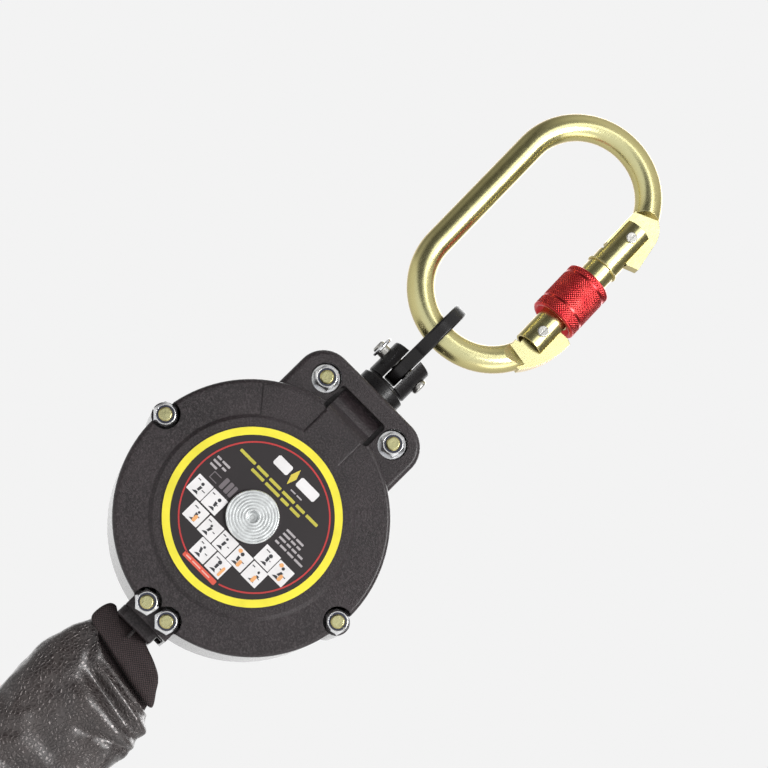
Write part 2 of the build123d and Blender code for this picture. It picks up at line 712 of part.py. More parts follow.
def spool_hub():
    core = FLANGE_INNER_FACE - FIT_GAP
    spigot = FLANGE_INNER_FACE + FLANGE_THICKNESS + OVERLAP
    hub = cyl_y(HUB_RADIUS, -core, core) + cyl_y(SPIGOT_RADIUS, -spigot, spigot)
    hub = hub + cyl_y(SPRING_HUB_RADIUS, FLANGE_INNER_FACE, SPRING_HUB_END)
    hub = hub - cyl_y(BUSH_OUTER + FIT_GAP, -BEYOND, BEYOND)
    x, z = anchor_pin_place()
    hub = hub - cyl_y(ANCHOR_PIN_RADIUS + FIT_GAP, -BEYOND, BEYOND, x, z)
    for x, z in spool_rivet_places():
        hub = hub - cyl_y(RIVET_RADIUS + FIT_GAP, -BEYOND, BEYOND, x, z)
    return hub


def spool_flange(front_face, pin_holes):
    flange = cyl_y(FLANGE_RADIUS, front_face, front_face + FLANGE_THICKNESS)
    flange = flange - cyl_y(SPIGOT_RADIUS + FIT_GAP, -BEYOND, BEYOND)
    for x, z in spool_rivet_places():
        flange = flange - cyl_y(RIVET_RADIUS + FIT_GAP, -BEYOND, BEYOND, x, z)
    for x, z in pin_holes:
        flange = flange - cyl_y(PAWL_PIN_RADIUS + FIT_GAP, -BEYOND, BEYOND, x, z)
    return flange


def spool_flanges():
    pawl_holes = [polar(PAWL_PIVOT, start) for start in PAWL_STARTS]
    front = spool_flange(-FLANGE_INNER_FACE - FLANGE_THICKNESS, pawl_holes)
    return group([front, spool_flange(FLANGE_INNER_FACE, [])])


def spool_rivet(x, z):
    reach = FLANGE_INNER_FACE + FLANGE_THICKNESS
    return cyl_y(RIVET_RADIUS, -reach, reach, x, z)


def drum_bush(y0, y1):
    return cyl_y(BUSH_OUTER, y0, y1) - cyl_y(AXLE_RADIUS + RUN_GAP, -BEYOND, BEYOND)


# ======================= retraction spring =======================
def case_screw_places():
    return [polar(CASE_SCREW_CIRCLE, 120 * i + 90) for i in range(3)]


def spring_case():
    case = cyl_y(SPRING_CASE_RADIUS, CASE_FRONT, CASE_BACK)
    for x, z in case_screw_places():
        case = case + cyl_y(CASE_LUG_RADIUS, CASE_LUG_FRONT, CASE_BACK, x, z)
    case = case - cyl_y(SPRING_CASE_RADIUS - SPRING_CASE_WALL, CASE_FLOOR, BEYOND)
    case = case - cyl_y(CASE_BORE, 0, BEYOND)
    for x, z in case_screw_places():
        case = case - cyl_y(RIVET_RADIUS + FIT_GAP, 0, BEYOND, x, z)
    return case


def spring_cover():
    cover = cyl_y(SPRING_CASE_RADIUS - SPRING_CASE_WALL - RUN_GAP, CASE_COVER_FRONT, CASE_BACK)
    return cover - cyl_y(AXLE_RADIUS + 5 * RUN_GAP, 0, BEYOND)


def case_screw(x, z):
    return cyl_y(RIVET_RADIUS, CASE_LUG_FRONT, FRAME_OUTER_FACE, x, z)


def mainspring():
    half_turns = round(2 * SPRING_TURNS)
    strip = winding(SPRING_INNER, SPRING_PITCH, SPRING_STRIP, half_turns, 90, SPRING_WIDTH / 2)
    return Pos(0, SPRING_CENTRE_Y, 0) * strip


# ======================= webbing exit =======================
def guide_roller(side):
    x, z = side * EXIT_SCREW[0], EXIT_SCREW[1]
    roller = cyl_y(ROLLER_RADIUS, -ROLLER_HALF, ROLLER_HALF, x, z)
    return roller - cyl_y(SCREW_RADIUS + RUN_GAP, -BEYOND, BEYOND, x, z)


def lead_side(offset):
    """Edges of one side of the webbing lead, from the coil to the exit."""
    angle = coil_end_angle()
    normal = (math.cos(angle), math.sin(angle))
    roller_x, roller_z = -EXIT_SCREW[0], EXIT_SCREW[1]
    coil_r = lead_coil_radius() + offset
    roller_r = lead_roller_radius() - offset
    start = (coil_r * normal[0] - normal[1] * 0.3, coil_r * normal[1] + normal[0] * 0.3)
    touch = (roller_x - roller_r * normal[0], roller_z - roller_r * normal[1])
    middle = polar(roller_r, (math.degrees(angle) + 180) / 2)
    bend = (roller_x + middle[0], roller_z + middle[1])
    side = (roller_x + roller_r, roller_z)
    low = (side[0], GUIDE_TOP + 0.6)
    return [Line(start, touch), ThreePointArc(touch, bend, side), Line(side, low)]


def webbing_lead():
    half = WEBBING_THICKNESS / 2
    outer = lead_side(half)
    inner = lead_side(-half)
    ends = [Line(outer[0] @ 0, inner[0] @ 0), Line(outer[2] @ 1, inner[2] @ 1)]
    return slab_xz(face_of(*outer, *inner, *ends), -WEBBING_WIDTH / 2, WEBBING_WIDTH / 2)


def exit_guide():
    """Plastic nozzle hung on the exit screws by two tongues."""
    left, right = GUIDE_X - GUIDE_HALF_WIDTH, GUIDE_X + GUIDE_HALF_WIDTH
    nozzle = box(left, right, -13.4, 13.4, GUIDE_BOTTOM, GUIDE_TOP)
    nozzle = fillet(nozzle.edges().filter_by(Axis.Z), 2.5)
    nozzle = fillet(nozzle.edges().group_by(Axis.Z)[0], 1.0)
    for side in (-1, 1):
        low, high = sorted((side * 12.1, side * 13.3))
        nozzle = nozzle + box(-8.4, 8.4, low, high, GUIDE_TOP - 0.1, -42.4)
    for x in (-EXIT_SCREW[0], EXIT_SCREW[0]):
        nozzle = nozzle - cyl_y(SCREW_HOLE, -30, 30, x, EXIT_SCREW[1])
    slot_x = webbing_x()
    return nozzle - box(slot_x - 1.5, slot_x + 1.5, -10.7, 10.7, -60, -50)


# ======================= absorber pack =======================
def webbing_tail():
    half = WEBBING_THICKNESS / 2
    x = webbing_x()
    return box(x - half, x + half, -WEBBING_WIDTH / 2, WEBBING_WIDTH / 2, -57.0, GUIDE_TOP + 0.4)


def woven_end():
    """Folded and sewn webbing end between the exit and the cover's mouth."""
    outline = make_face(Polyline((-12.5, -57.2), (16.5, -57.8), (21.0, -65.5), (21.0, -76.0),
                                 (-13.5, -76.0), (-13.5, -61.0), close=True))
    return slab_xz(outline, -6.5, 6.5)


def cover_section(inset):
    corner = COVER_CORNER - inset
    return Pos(COVER_X, 0) * RectangleRounded(COVER_WIDTH - 2 * inset, COVER_DEPTH - 2 * inset, corner)


def absorber_cover():
    """Long soft sleeve with a slanted open mouth and a slot for the loop at its lower end."""
    outside = extrude(Pos(0, 0, COVER_BOTTOM) * cover_section(0), amount=COVER_TOP - COVER_BOTTOM)
    inside = extrude(Pos(0, 0, COVER_BOTTOM + COVER_WALL) * cover_section(COVER_WALL), amount=200)
    left, right = COVER_X - COVER_WIDTH / 2 - 1, COVER_X + COVER_WIDTH / 2 + 1
    above = make_face(Polyline((left, COVER_TOP), (right, COVER_TOP - MOUTH_DROP), (right, 0),
                               (left, 0), close=True))
    cover = outside - inside - slab_xz(above, -BEYOND, BEYOND)
    half = LOOP_WIDTH / 2 + 0.5
    return cover - box(COVER_X - half, COVER_X + half, -3.3, 3.3, COVER_BOTTOM - 1, COVER_BOTTOM + 5)


def tear_webbing_pack():
    """Concertina of tear webbing, as a pack of joined folds."""
    low, high = -222.0, -78.0
    folds = 9
    height = (high - low) / folds
    pack = box(COVER_X - 17, COVER_X + 17, -8.5, 8.5, low, high)
    for i in range(1, folds):
        z = low + i * height
        side = 1 if i % 2 else -1
        slit_low, slit_high = sorted((side * 9.5, -side * 7.0))
        pack = pack - box(COVER_X - 19, COVER_X + 19, slit_low, slit_high, z - 0.3, z + 0.3)
    return pack


def line_end_loop():
    """Sewn webbing loop that carries the lower connector."""
    outer = LOOP_INNER + LOOP_STRAP
    shoulder = LOOP_Z + 5
    ring = Pos(0, LOOP_Z) * Circle(outer)
    neck = make_face(Polyline((-2.7, -224.0), (2.7, -224.0), (2.7, -243.0), (outer - 0.9, shoulder),
                              (0.9 - outer, shoulder), (-2.7, -243.0), close=True))
    eye = make_face(Polyline((0, -246.5), (LOOP_INNER - 0.9, LOOP_Z + 4), (0.9 - LOOP_INNER, LOOP_Z + 4),
                             close=True))
    shape = ring + neck - Pos(0, LOOP_Z) * Circle(LOOP_INNER) - eye
    return slab_yz(shape, COVER_X - LOOP_WIDTH / 2, COVER_X + LOOP_WIDTH / 2)


# ======================= connector =======================
def rod_path():
    """Centre line of the oval rod, from the latch end round the spine to the hinge end."""
    top = CONNECTOR_STRAIGHT
    latch = polar(ARC_RADIUS, LATCH_ARC_END)
    hinge = polar(ARC_RADIUS, HINGE_ARC_END)
    crown = polar(ARC_RADIUS, (HINGE_ARC_END + 180) / 2)
    foot = polar(ARC_RADIUS, (LATCH_ARC_END - 180) / 2)
    lower = ThreePointArc(latch, foot, (-ARC_RADIUS, 0))
    spine = Line((-ARC_RADIUS, 0), (-ARC_RADIUS, top))
    upper = ThreePointArc((-ARC_RADIUS, top), (crown[0], crown[1] + top), (hinge[0], hinge[1] + top))
    return Plane.XZ * Wire([lower, spine, upper])


def facet_cut(corner, tilt, slope, along, past):
    """Two wedges that flatten the rod past a slanted line, with a sloped facet before it."""
    top = ROD_RADIUS + 4
    profile = make_face(Polyline((-slope, ROD_RADIUS + 0.1), (0, PLATE_HALF), (past, PLATE_HALF),
                                 (past, top), (-slope, top), close=True))
    section = Plane(origin=(along[0], 0, 0), x_dir=(0, 0, 1), z_dir=(-1, 0, 0)) * profile
    wedge = extrude(section, amount=along[0] - along[1])
    both = wedge + mirror(wedge, about=Plane.XZ)
    return Pos(corner[0], 0, corner[1]) * Rot(0, tilt, 0) * both


def latch_plate():
    """Flattened nose with its outboard lip and the open slot for the latch pin."""
    outline = face_of(
        Polyline((27.0, -14.6), (19.7, -13.4), (18.6, -7.1), (20.6, -6.7), (20.6, 5.4), (22.2, 6.8),
                 (32.3, 6.8), (34.1, 5.9)),
        ThreePointArc((34.1, 5.9), (32.4, -4.7), (27.0, -14.6)))
    plate = slab_xz(outline, -PLATE_HALF, PLATE_HALF)
    slot = box(GATE_X - 9, GATE_X, -9, 9, LATCH_Z - LATCH_SLOT, LATCH_Z + LATCH_SLOT)
    return plate - slot - cyl_y(LATCH_SLOT, -9, 9, GATE_X, LATCH_Z)


def hinge_plate():
    """Flattened hinge end with its outboard lip."""
    low = (GATE_X, HINGE_Z - HINGE_SWEEP)
    inner = (GATE_X - 5.6, HINGE_Z - math.sqrt(HINGE_SWEEP ** 2 - 5.6 ** 2))
    middle = (GATE_X - 2.2, HINGE_Z - math.sqrt(HINGE_SWEEP ** 2 - 2.2 ** 2))
    outline = face_of(
        Polyline((26.5, 64.1), (19.2, 64.1), (18.2, 60.1), inner),
        ThreePointArc(inner, middle, low),
        Polyline(low, (27.4, 43.8), (29.4, 43.0), (33.6, 44.7), (31.6, 57.0)),
        ThreePointArc((31.6, 57.0), (29.8, 61.0), (26.5, 64.1)))
    plate = slab_xz(outline, -PLATE_HALF, PLATE_HALF)
    return plate - cyl_y(RIVET_RADIUS + RUN_GAP, -9, 9, GATE_X, HINGE_Z)


def connector_body():
    path = rod_path()
    rod = sweep(Plane(origin=path @ 0, z_dir=path % 0) * Circle(ROD_RADIUS), path=path)
    rod = rod - facet_cut((19.5, -10.1), 10.5, 5.0, (-9, 22), 18)
    rod = rod - facet_cut((23.4, 62.3), 155.0, 1.4, (-18, 20), 16)
    return rod + latch_plate() + hinge_plate()


def connector_gate():
    """Gate tube, slotted over both flattened ends, with a web that backs the spring."""
    tube = cyl_z(GATE_RADIUS, GATE_LOW, GATE_HIGH, GATE_X) - cyl_z(GATE_BORE, -9, 60, GATE_X)
    hinge_slot_low = HINGE_Z - HINGE_SWEEP - 0.7
    tube = tube - box(0, 50, -PLATE_SLOT, PLATE_SLOT, hinge_slot_low, GATE_HIGH + 1)
    tube = tube - box(GATE_X, 50, -PLATE_SLOT, PLATE_SLOT, GATE_LOW - 1, SLEEVE_LOW + 1)
    tube = tube + cyl_z(GATE_BORE + OVERLAP, *GATE_WEB, GATE_X)
    for z in (LATCH_Z, HINGE_Z):
        tube = tube - cyl_y(RIVET_RADIUS + FIT_GAP, -9, 9, GATE_X, z)
    return tube


def connector_rivet(z):
    """Cross pin through both sides of the gate tube, with slotted round heads."""
    heads = cyl_y(RIVET_HEAD, -RIVET_HEAD_REACH, RIVET_HEAD_REACH, GATE_X, z)
    heads = fillet(heads.edges().filter_by(GeomType.CIRCLE), 0.35)
    heads = heads - cyl_z(GATE_RADIUS + FIT_GAP, -9, 60, GATE_X)
    pin = cyl_y(RIVET_RADIUS, -RIVET_HEAD_REACH + 0.4, RIVET_HEAD_REACH - 0.4, GATE_X, z) + heads
    for side in (-1, 1):
        low, high = sorted((side * (RIVET_HEAD_REACH - 0.25), side * 9))
        pin = pin - box(GATE_X - 0.25, GATE_X + 0.25, low, high, z - RIVET_HEAD, z + RIVET_HEAD)
    return pin


def connector_rivets():
    return [connector_rivet(LATCH_Z), connector_rivet(HINGE_Z)]


def connector_sleeve():
    """Screw sleeve with a wider mouth at the latch end and two plain grooves."""
    top = SLEEVE_LOW + SLEEVE_LENGTH
    sleeve = cyl_z(SLEEVE_RADIUS, SLEEVE_LOW, top, GATE_X)
    sleeve = chamfer(sleeve.edges().filter_by(GeomType.CIRCLE), 0.5)
    for z in SLEEVE_GROOVES:
        groove = cyl_z(SLEEVE_RADIUS + 1, z - 0.4, z + 0.4, GATE_X)
        sleeve = sleeve - (groove - cyl_z(SLEEVE_RADIUS - 0.35, z - 1, z + 1, GATE_X))
    sleeve = sleeve - cyl_z(GATE_RADIUS + RUN_GAP, 0, 60, GATE_X)
    return sleeve - cyl_z(SLEEVE_MOUTH, SLEEVE_LOW - 1, SLEEVE_LOW + 4.0, GATE_X)


def connector_stop_ring():
    ring = cyl_z(STOP_RING_RADIUS, STOP_RING_Z - 0.4, STOP_RING_Z + 0.4, GATE_X)
    ring = fillet(ring.edges().filter_by(GeomType.CIRCLE), 0.3)
    return ring - cyl_z(GATE_RADIUS + FIT_GAP, 30, 40, GATE_X)


def connector_spring():
    """Gate spring with its plunger, pressing on the hinge plate from inside the tube."""
    path = Helix(pitch=2.6, height=22.0, radius=GATE_SPRING_RADIUS)
    coil = sweep(Plane(origin=path @ 0, z_dir=path % 0) * Circle(0.5), path=path)
    spring = Pos(GATE_X, 0, GATE_WEB[1] + 0.7) * coil
    plunger = cyl_z(PLUNGER_RADIUS, 36.6, 41.3, GATE_X)
    return [spring, plunger]


def top_connector(shape):
    """Hung in the eye by its lower arc and leaning back about the rod there."""
    x, z = TOP_CONNECTOR_AT
    foot = Pos(x, 0, z - ARC_RADIUS) * Rot(-TOP_CONNECTOR_TILT, 0, 0)
    return foot * Pos(0, 0, ARC_RADIUS) * Rot(0, TOP_CONNECTOR_LEAN, 0) * shape


def lower_connector(shape):
    return Pos(COVER_X, 0, LOOP_Z - ARC_RADIUS) * Rot(180, 0, 0) * shape


# ======================= write =======================
def save(name, shape):
    export_step(shape, f"parts/{name}.step")


def save_housing():
    save("front_shell", front_shell())
    save("rear_shell", rear_shell())
    save("label_disc", label_disc())
    save("front_axle_screw", front_axle_screw())
    save("rear_axle_screw", rear_axle_screw())
    save("drum_axle", drum_axle())
    save("clamp_screws", clamp_screws())
    save("lock_nuts", group(lock_nut(*seat) for seat in nut_seats()))
    save("nut_inserts", group(nut_insert(*seat) for seat in nut_seats()))
    save("head_washers", group(head_washer(*place) for place in head_screws()))
    save("front_frame", front_frame())
    save("rear_frame", rear_frame())
    save("swivel_block", swivel_block())
    save("swivel_bush", swivel_bush())
    save("thrust_washer", thrust_washer())


def save_swivel():
    save("swivel_clevis", swivel_clevis())
    save("swivel_nut", swivel_nut())
    save("swivel_lock_pin", swivel_lock_pin())
    save("clevis_pin", clevis_pin())
    save("pin_ring", pin_ring())
    save("eye_plate", eye_plate())


def save_drum():
    save("ratchet_ring", ratchet_ring())
    save("ring_rivets", group(ring_rivet(*place) for place in ring_rivet_places()))
    save("pawl_a", pawl(PAWL_STARTS[0]))
    save("pawl_b", pawl(PAWL_STARTS[1]))
    save("pawl_pins", group(pawl_pin(start) for start in PAWL_STARTS))
    save("pawl_springs", group(pawl_spring(start) for start in PAWL_STARTS))
    save("webbing_coil", webbing_coil())
    save("spool_hub", spool_hub())
    save("webbing_anchor_pin", webbing_anchor_pin())
    save("spool_flanges", spool_flanges())
    save("spool_rivets", group(spool_rivet(*place) for place in spool_rivet_places()))
    save("drum_bushes", group([drum_bush(-12.4, -4), drum_bush(4, 12.4)]))
    save("spring_case", spring_case())
    save("spring_cover", spring_cover())
    save("spring_case_screws", group(case_screw(*place) for place in case_screw_places()))
    save("mainspring", mainspring())


def save_line():
    save("guide_roller_left", guide_roller(-1))
    save("guide_roller_right", guide_roller(1))
    save("webbing_lead", webbing_lead())
    save("exit_guide", exit_guide())
    save("webbing_tail", webbing_tail())
    save("woven_end", woven_end())
    save("absorber_cover", absorber_cover())
    save("tear_webbing_pack", tear_webbing_pack())
    save("line_end_loop", line_end_loop())


def save_connector(prefix, place):
    save(f"{prefix}_body", place(connector_body()))
    save(f"{prefix}_gate", place(connector_gate()))
    save(f"{prefix}_rivets", group(place(rivet) for rivet in connector_rivets()))
    save(f"{prefix}_sleeve", place(connector_sleeve()))
    save(f"{prefix}_stop_ring", place(connector_stop_ring()))
    save(f"{prefix}_spring", group(place(piece) for piece in connector_spring()))


save_housing()
save_swivel()
save_drum()
save_line()
save_connector("anchor_connector", top_connector)
save_connector("user_connector", lower_connector)
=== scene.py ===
import math
import random

import bmesh
import bpy
from mathutils import Matrix, Vector, noise


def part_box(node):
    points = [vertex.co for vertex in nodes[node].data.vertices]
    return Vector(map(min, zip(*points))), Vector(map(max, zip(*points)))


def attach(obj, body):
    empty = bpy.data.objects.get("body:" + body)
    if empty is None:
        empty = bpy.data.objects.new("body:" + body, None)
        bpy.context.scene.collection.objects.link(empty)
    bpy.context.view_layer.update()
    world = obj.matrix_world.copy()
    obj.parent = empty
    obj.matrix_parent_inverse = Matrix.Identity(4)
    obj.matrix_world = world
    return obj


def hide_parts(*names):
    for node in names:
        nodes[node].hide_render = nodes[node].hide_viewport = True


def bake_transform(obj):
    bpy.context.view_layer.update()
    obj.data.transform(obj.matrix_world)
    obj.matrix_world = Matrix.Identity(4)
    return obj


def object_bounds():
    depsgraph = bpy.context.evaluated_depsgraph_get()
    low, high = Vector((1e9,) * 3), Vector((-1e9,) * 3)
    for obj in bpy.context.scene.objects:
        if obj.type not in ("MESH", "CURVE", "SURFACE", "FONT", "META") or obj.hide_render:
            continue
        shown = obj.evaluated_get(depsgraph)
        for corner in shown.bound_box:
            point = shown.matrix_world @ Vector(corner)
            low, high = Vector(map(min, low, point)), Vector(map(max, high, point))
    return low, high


# Looks of a self retracting lifeline: black housing on a swivel, oval screwgate connectors at both
# ends and a leather-sleeved absorber pack. Metres, in the CAD frame: +Z up, the label faces -Y.

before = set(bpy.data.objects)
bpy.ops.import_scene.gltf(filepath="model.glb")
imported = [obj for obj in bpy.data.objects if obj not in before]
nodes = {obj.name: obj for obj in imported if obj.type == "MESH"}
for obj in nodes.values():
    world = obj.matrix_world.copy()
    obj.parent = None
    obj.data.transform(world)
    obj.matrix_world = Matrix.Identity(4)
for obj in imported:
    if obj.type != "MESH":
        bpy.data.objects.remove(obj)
cad_box = [list(corner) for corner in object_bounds()]

MM = 0.001
TURN = 2 * math.pi


# ======================= node helpers =======================
def new_material(name):
    material = bpy.data.materials.new(name)
    material.use_nodes = True
    tree = material.node_tree
    tree.nodes.clear()
    out = tree.nodes.new("ShaderNodeOutputMaterial")
    shader = tree.nodes.new("ShaderNodeBsdfPrincipled")
    tree.links.new(shader.outputs[0], out.inputs[0])
    return material, tree, shader


def node(tree, kind, inputs=None, **settings):
    made = tree.nodes.new("ShaderNode" + kind)
    for key, value in settings.items():
        setattr(made, key, value)
    for key, value in (inputs or {}).items():
        put(tree, made.inputs[key], value)
    return made


def put(tree, socket, value):
    """Links a socket or sets a plain value."""
    if isinstance(value, bpy.types.NodeSocket):
        tree.links.new(value, socket)
    elif isinstance(value, (tuple, list)) and len(value) == 3 and socket.type == "RGBA":
        socket.default_value = (*value, 1.0)
    else:
        socket.default_value = value


def coords(tree, scale=(1, 1, 1), rotation=(0, 0, 0)):
    place = node(tree, "TexCoord").outputs["Object"]
    return node(tree, "Mapping", {"Vector": place, "Scale": scale, "Rotation": rotation}).outputs[0]


def noise_at(tree, vector, scale, detail=4.0, roughness=0.55):
    inputs = {"Vector": vector, "Scale": scale, "Detail": detail, "Roughness": roughness}
    return node(tree, "TexNoise", inputs).outputs["Fac"]


def spread(tree, value, low, high):
    """The middle of a noise value stretched from low to high."""
    return node(tree, "MapRange", {"Value": value, 1: 0.3, 2: 0.7, 3: low, 4: high}).outputs[0]


def ramped(tree, value, start, end):
    """0 at start, 1 at end."""
    return node(tree, "MapRange", {"Value": value, 1: start, 2: end, 3: 0.0, 4: 1.0}).outputs[0]


def ramp(tree, value, stops):
    made = node(tree, "ValToRGB", {"Fac": value})
    elements = made.color_ramp.elements
    while len(elements) < len(stops):
        elements.new(0.5)
    for element, (place, colour) in zip(elements, stops):
        element.position = place
        element.color = (*colour, 1.0) if len(colour) == 3 else (colour[0],) * 3 + (1.0,)
    return made.outputs[0]


def mix(tree, amount, first, second, blend="MIX"):
    made = node(tree, "Mix", data_type="RGBA", blend_type=blend)
    put(tree, made.inputs["Factor"], amount)
    put(tree, made.inputs[6], first)
    put(tree, made.inputs[7], second)
    return made.outputs[2]


def maths(tree, operation, first, second=0.0):
    return node(tree, "Math", {0: first, 1: second}, operation=operation).outputs[0]


def bump(tree, height, distance, strength=1.0, normal=None):
    made = node(tree, "Bump", {"Height": height, "Distance": distance, "Strength": strength})
    if normal is not None:
        put(tree, made.inputs["Normal"], normal)
    return made.outputs[0]


def soft_edge(tree, radius):
    return node(tree, "Bevel", {"Radius": radius}, samples=4).outputs[0]


def edge_highlight_mask(tree, radius, low=0.02, high=0.35):
    """1 along sharp edges, 0 on open faces; the materials use it to paint a highlight along edges."""
    flat = node(tree, "NewGeometry").outputs["Normal"]
    ends = {0: soft_edge(tree, radius), 1: flat}
    turn = node(tree, "VectorMath", ends, operation="DOT_PRODUCT").outputs["Value"]
    return ramped(tree, turn, 1.0 - low, 1.0 - high)


# ======================= materials =======================
def plastic_material(name, colour, roughness=0.5, grain=0.00006, edge=0.00035, specular=0.4, coat=0.0,
                     painted_glints_amount=0.0):
    """Moulded plastic or satin paint: fine spark texture, faint mottling, painted glints of pale grains and a
    painted highlight along sharp edges.
    """
    material, tree, shader = new_material(name)
    place = coords(tree)
    fine = noise_at(tree, place, 1500.0, 3.0, 0.7)
    glint_noise = noise_at(tree, place, 1500.0, 3.0, 0.6)
    broad = noise_at(tree, place, 70.0, 5.0, 0.6)
    pale = tuple(min(1.0, c * 1.5 + 0.004) for c in colour)
    dark = tuple(c * 0.7 for c in colour)
    tone = ramp(tree, broad, [(0.3, dark), (0.7, pale)])
    # Painted glints: pale grains scattered over the colour stand for the sparkle of the spark texture.
    painted_glints = ramp(tree, glint_noise, [(0.46, (0.0,)), (0.68, (1.0,))])
    tone = mix(tree, maths(tree, "MULTIPLY", painted_glints, painted_glints_amount), tone, tuple(c * 5 + 0.05 for c in colour))
    # Painted edge highlight: the colour turns paler along sharp edges.
    edge_highlight = edge_highlight_mask(tree, edge)
    put(tree, shader.inputs["Base Color"], mix(tree, maths(tree, "MULTIPLY", edge_highlight, 0.35), tone, pale))
    put(tree, shader.inputs["Roughness"], spread(tree, fine, roughness - 0.09, roughness + 0.09))
    put(tree, shader.inputs["Specular IOR Level"], specular)
    put(tree, shader.inputs["Coat Weight"], coat)
    put(tree, shader.inputs["Coat IOR"], 1.27)
    put(tree, shader.inputs["Coat Roughness"], 0.26)
    put(tree, shader.inputs["Normal"], bump(tree, fine, grain, 0.8, soft_edge(tree, edge)))
    return material


def metal_material(name, colour, roughness=0.3, tint=None, scratches=0.00001, stretch=(1, 1, 1), edge=0.0002):
    """Bare or plated metal: drawn marks, cloudy tint and a painted highlight along sharp edges."""
    material, tree, shader = new_material(name)
    place = coords(tree)
    clouds = noise_at(tree, place, 160.0, 5.0)
    marks = noise_at(tree, coords(tree, stretch), 1800.0, 3.0, 0.7)
    other = tint or tuple(c * 0.8 for c in colour)
    tone = ramp(tree, clouds, [(0.35, colour), (0.65, other)])
    # Painted edge highlight: the colour turns lighter along sharp edges.
    edge_highlight = edge_highlight_mask(tree, edge)
    light = tuple(min(1.0, c * 1.15 + 0.05) for c in colour)
    put(tree, shader.inputs["Base Color"], mix(tree, maths(tree, "MULTIPLY", edge_highlight, 0.5), tone, light))
    put(tree, shader.inputs["Metallic"], 1.0)
    put(tree, shader.inputs["Roughness"], spread(tree, marks, roughness - 0.06, roughness + 0.08))
    put(tree, shader.inputs["Normal"], bump(tree, marks, scratches, 0.5, soft_edge(tree, edge)))
    return material


def zinc_material(name="yellow_zinc", dim=1.0, dent=0.000004):
    """Yellow passivated steel: olive gold, cloudy patches and rosy iridescent rims, with a painted cream
    highlight face-on, painted brown shade towards the sides and a painted highlight along sharp edges; dent
    is how deep its dimples are.
    """
    material, tree, shader = new_material(name)
    place = coords(tree)
    clouds = noise_at(tree, place, 55.0, 6.0, 0.6)
    fine = noise_at(tree, coords(tree, (1, 1, 0.25)), 1500.0, 4.0, 0.7)
    facing = node(tree, "LayerWeight", {"Blend": 0.35}).outputs["Facing"]
    tone = ramp(tree, clouds, [(0.3, (0.54, 0.45, 0.23)), (0.5, (0.74, 0.66, 0.40)),
                               (0.7, (0.80, 0.67, 0.44))])
    # Painted highlight and shade by facing angle: cream face-on, brown towards the sides; the rosy grazing
    # end stands for the plating's iridescence.
    iridescence_and_painted_light = ramp(tree, facing, [(0.0, (0.80, 0.80, 0.56)), (0.12, (0.68, 0.62, 0.36)),
                              (0.45, (0.44, 0.38, 0.17)), (0.72, (0.46, 0.30, 0.15)),
                              (0.86, (0.80, 0.42, 0.32)), (1.0, (0.92, 0.66, 0.56))])
    colour = mix(tree, 1.0, mix(tree, 0.65, tone, iridescence_and_painted_light), (dim, dim, dim * 0.8), "MULTIPLY")
    # Painted edge highlight: pale cream along sharp edges.
    edge_highlight = maths(tree, "MULTIPLY", edge_highlight_mask(tree, 0.0003), 0.5)
    put(tree, shader.inputs["Base Color"], mix(tree, edge_highlight, colour, (0.8, 0.75, 0.6)))
    put(tree, shader.inputs["Metallic"], 1.0)
    put(tree, shader.inputs["Roughness"], spread(tree, fine, 0.22, 0.32))
    worn = bump(tree, noise_at(tree, place, 420.0, 3.0), dent, 1.0, soft_edge(tree, 0.0003))
    put(tree, shader.inputs["Normal"], bump(tree, fine, 0.000006, 0.5, worn))
    return material


def turned_material(name, colour):
    """Face-turned metal: fine rings about the drum axis."""
    material, tree, shader = new_material(name)
    place = node(tree, "TexCoord").outputs["Object"]
    flat = node(tree, "VectorMath", {0: place, 1: (1, 0, 1)}, operation="MULTIPLY").outputs[0]
    radius = node(tree, "VectorMath", {0: flat}, operation="LENGTH").outputs["Value"]
    rings = maths(tree, "SINE", maths(tree, "MULTIPLY", radius, TURN / 0.0011))
    patchy = maths(tree, "ADD", noise_at(tree, place, 420.0, 5.0), maths(tree, "MULTIPLY", rings, 0.12))
    tone = ramp(tree, patchy, [(0.3, tuple(c * 0.70 for c in colour)), (0.7, colour)])
    put(tree, shader.inputs["Base Color"], tone)
    put(tree, shader.inputs["Metallic"], 1.0)
    put(tree, shader.inputs["Roughness"], 0.36)
    height = maths(tree, "ADD", maths(tree, "MULTIPLY", rings, 0.5), noise_at(tree, place, 2500.0))
    put(tree, shader.inputs["Normal"], bump(tree, height, 0.00004, 0.8, soft_edge(tree, 0.0002)))
    return material


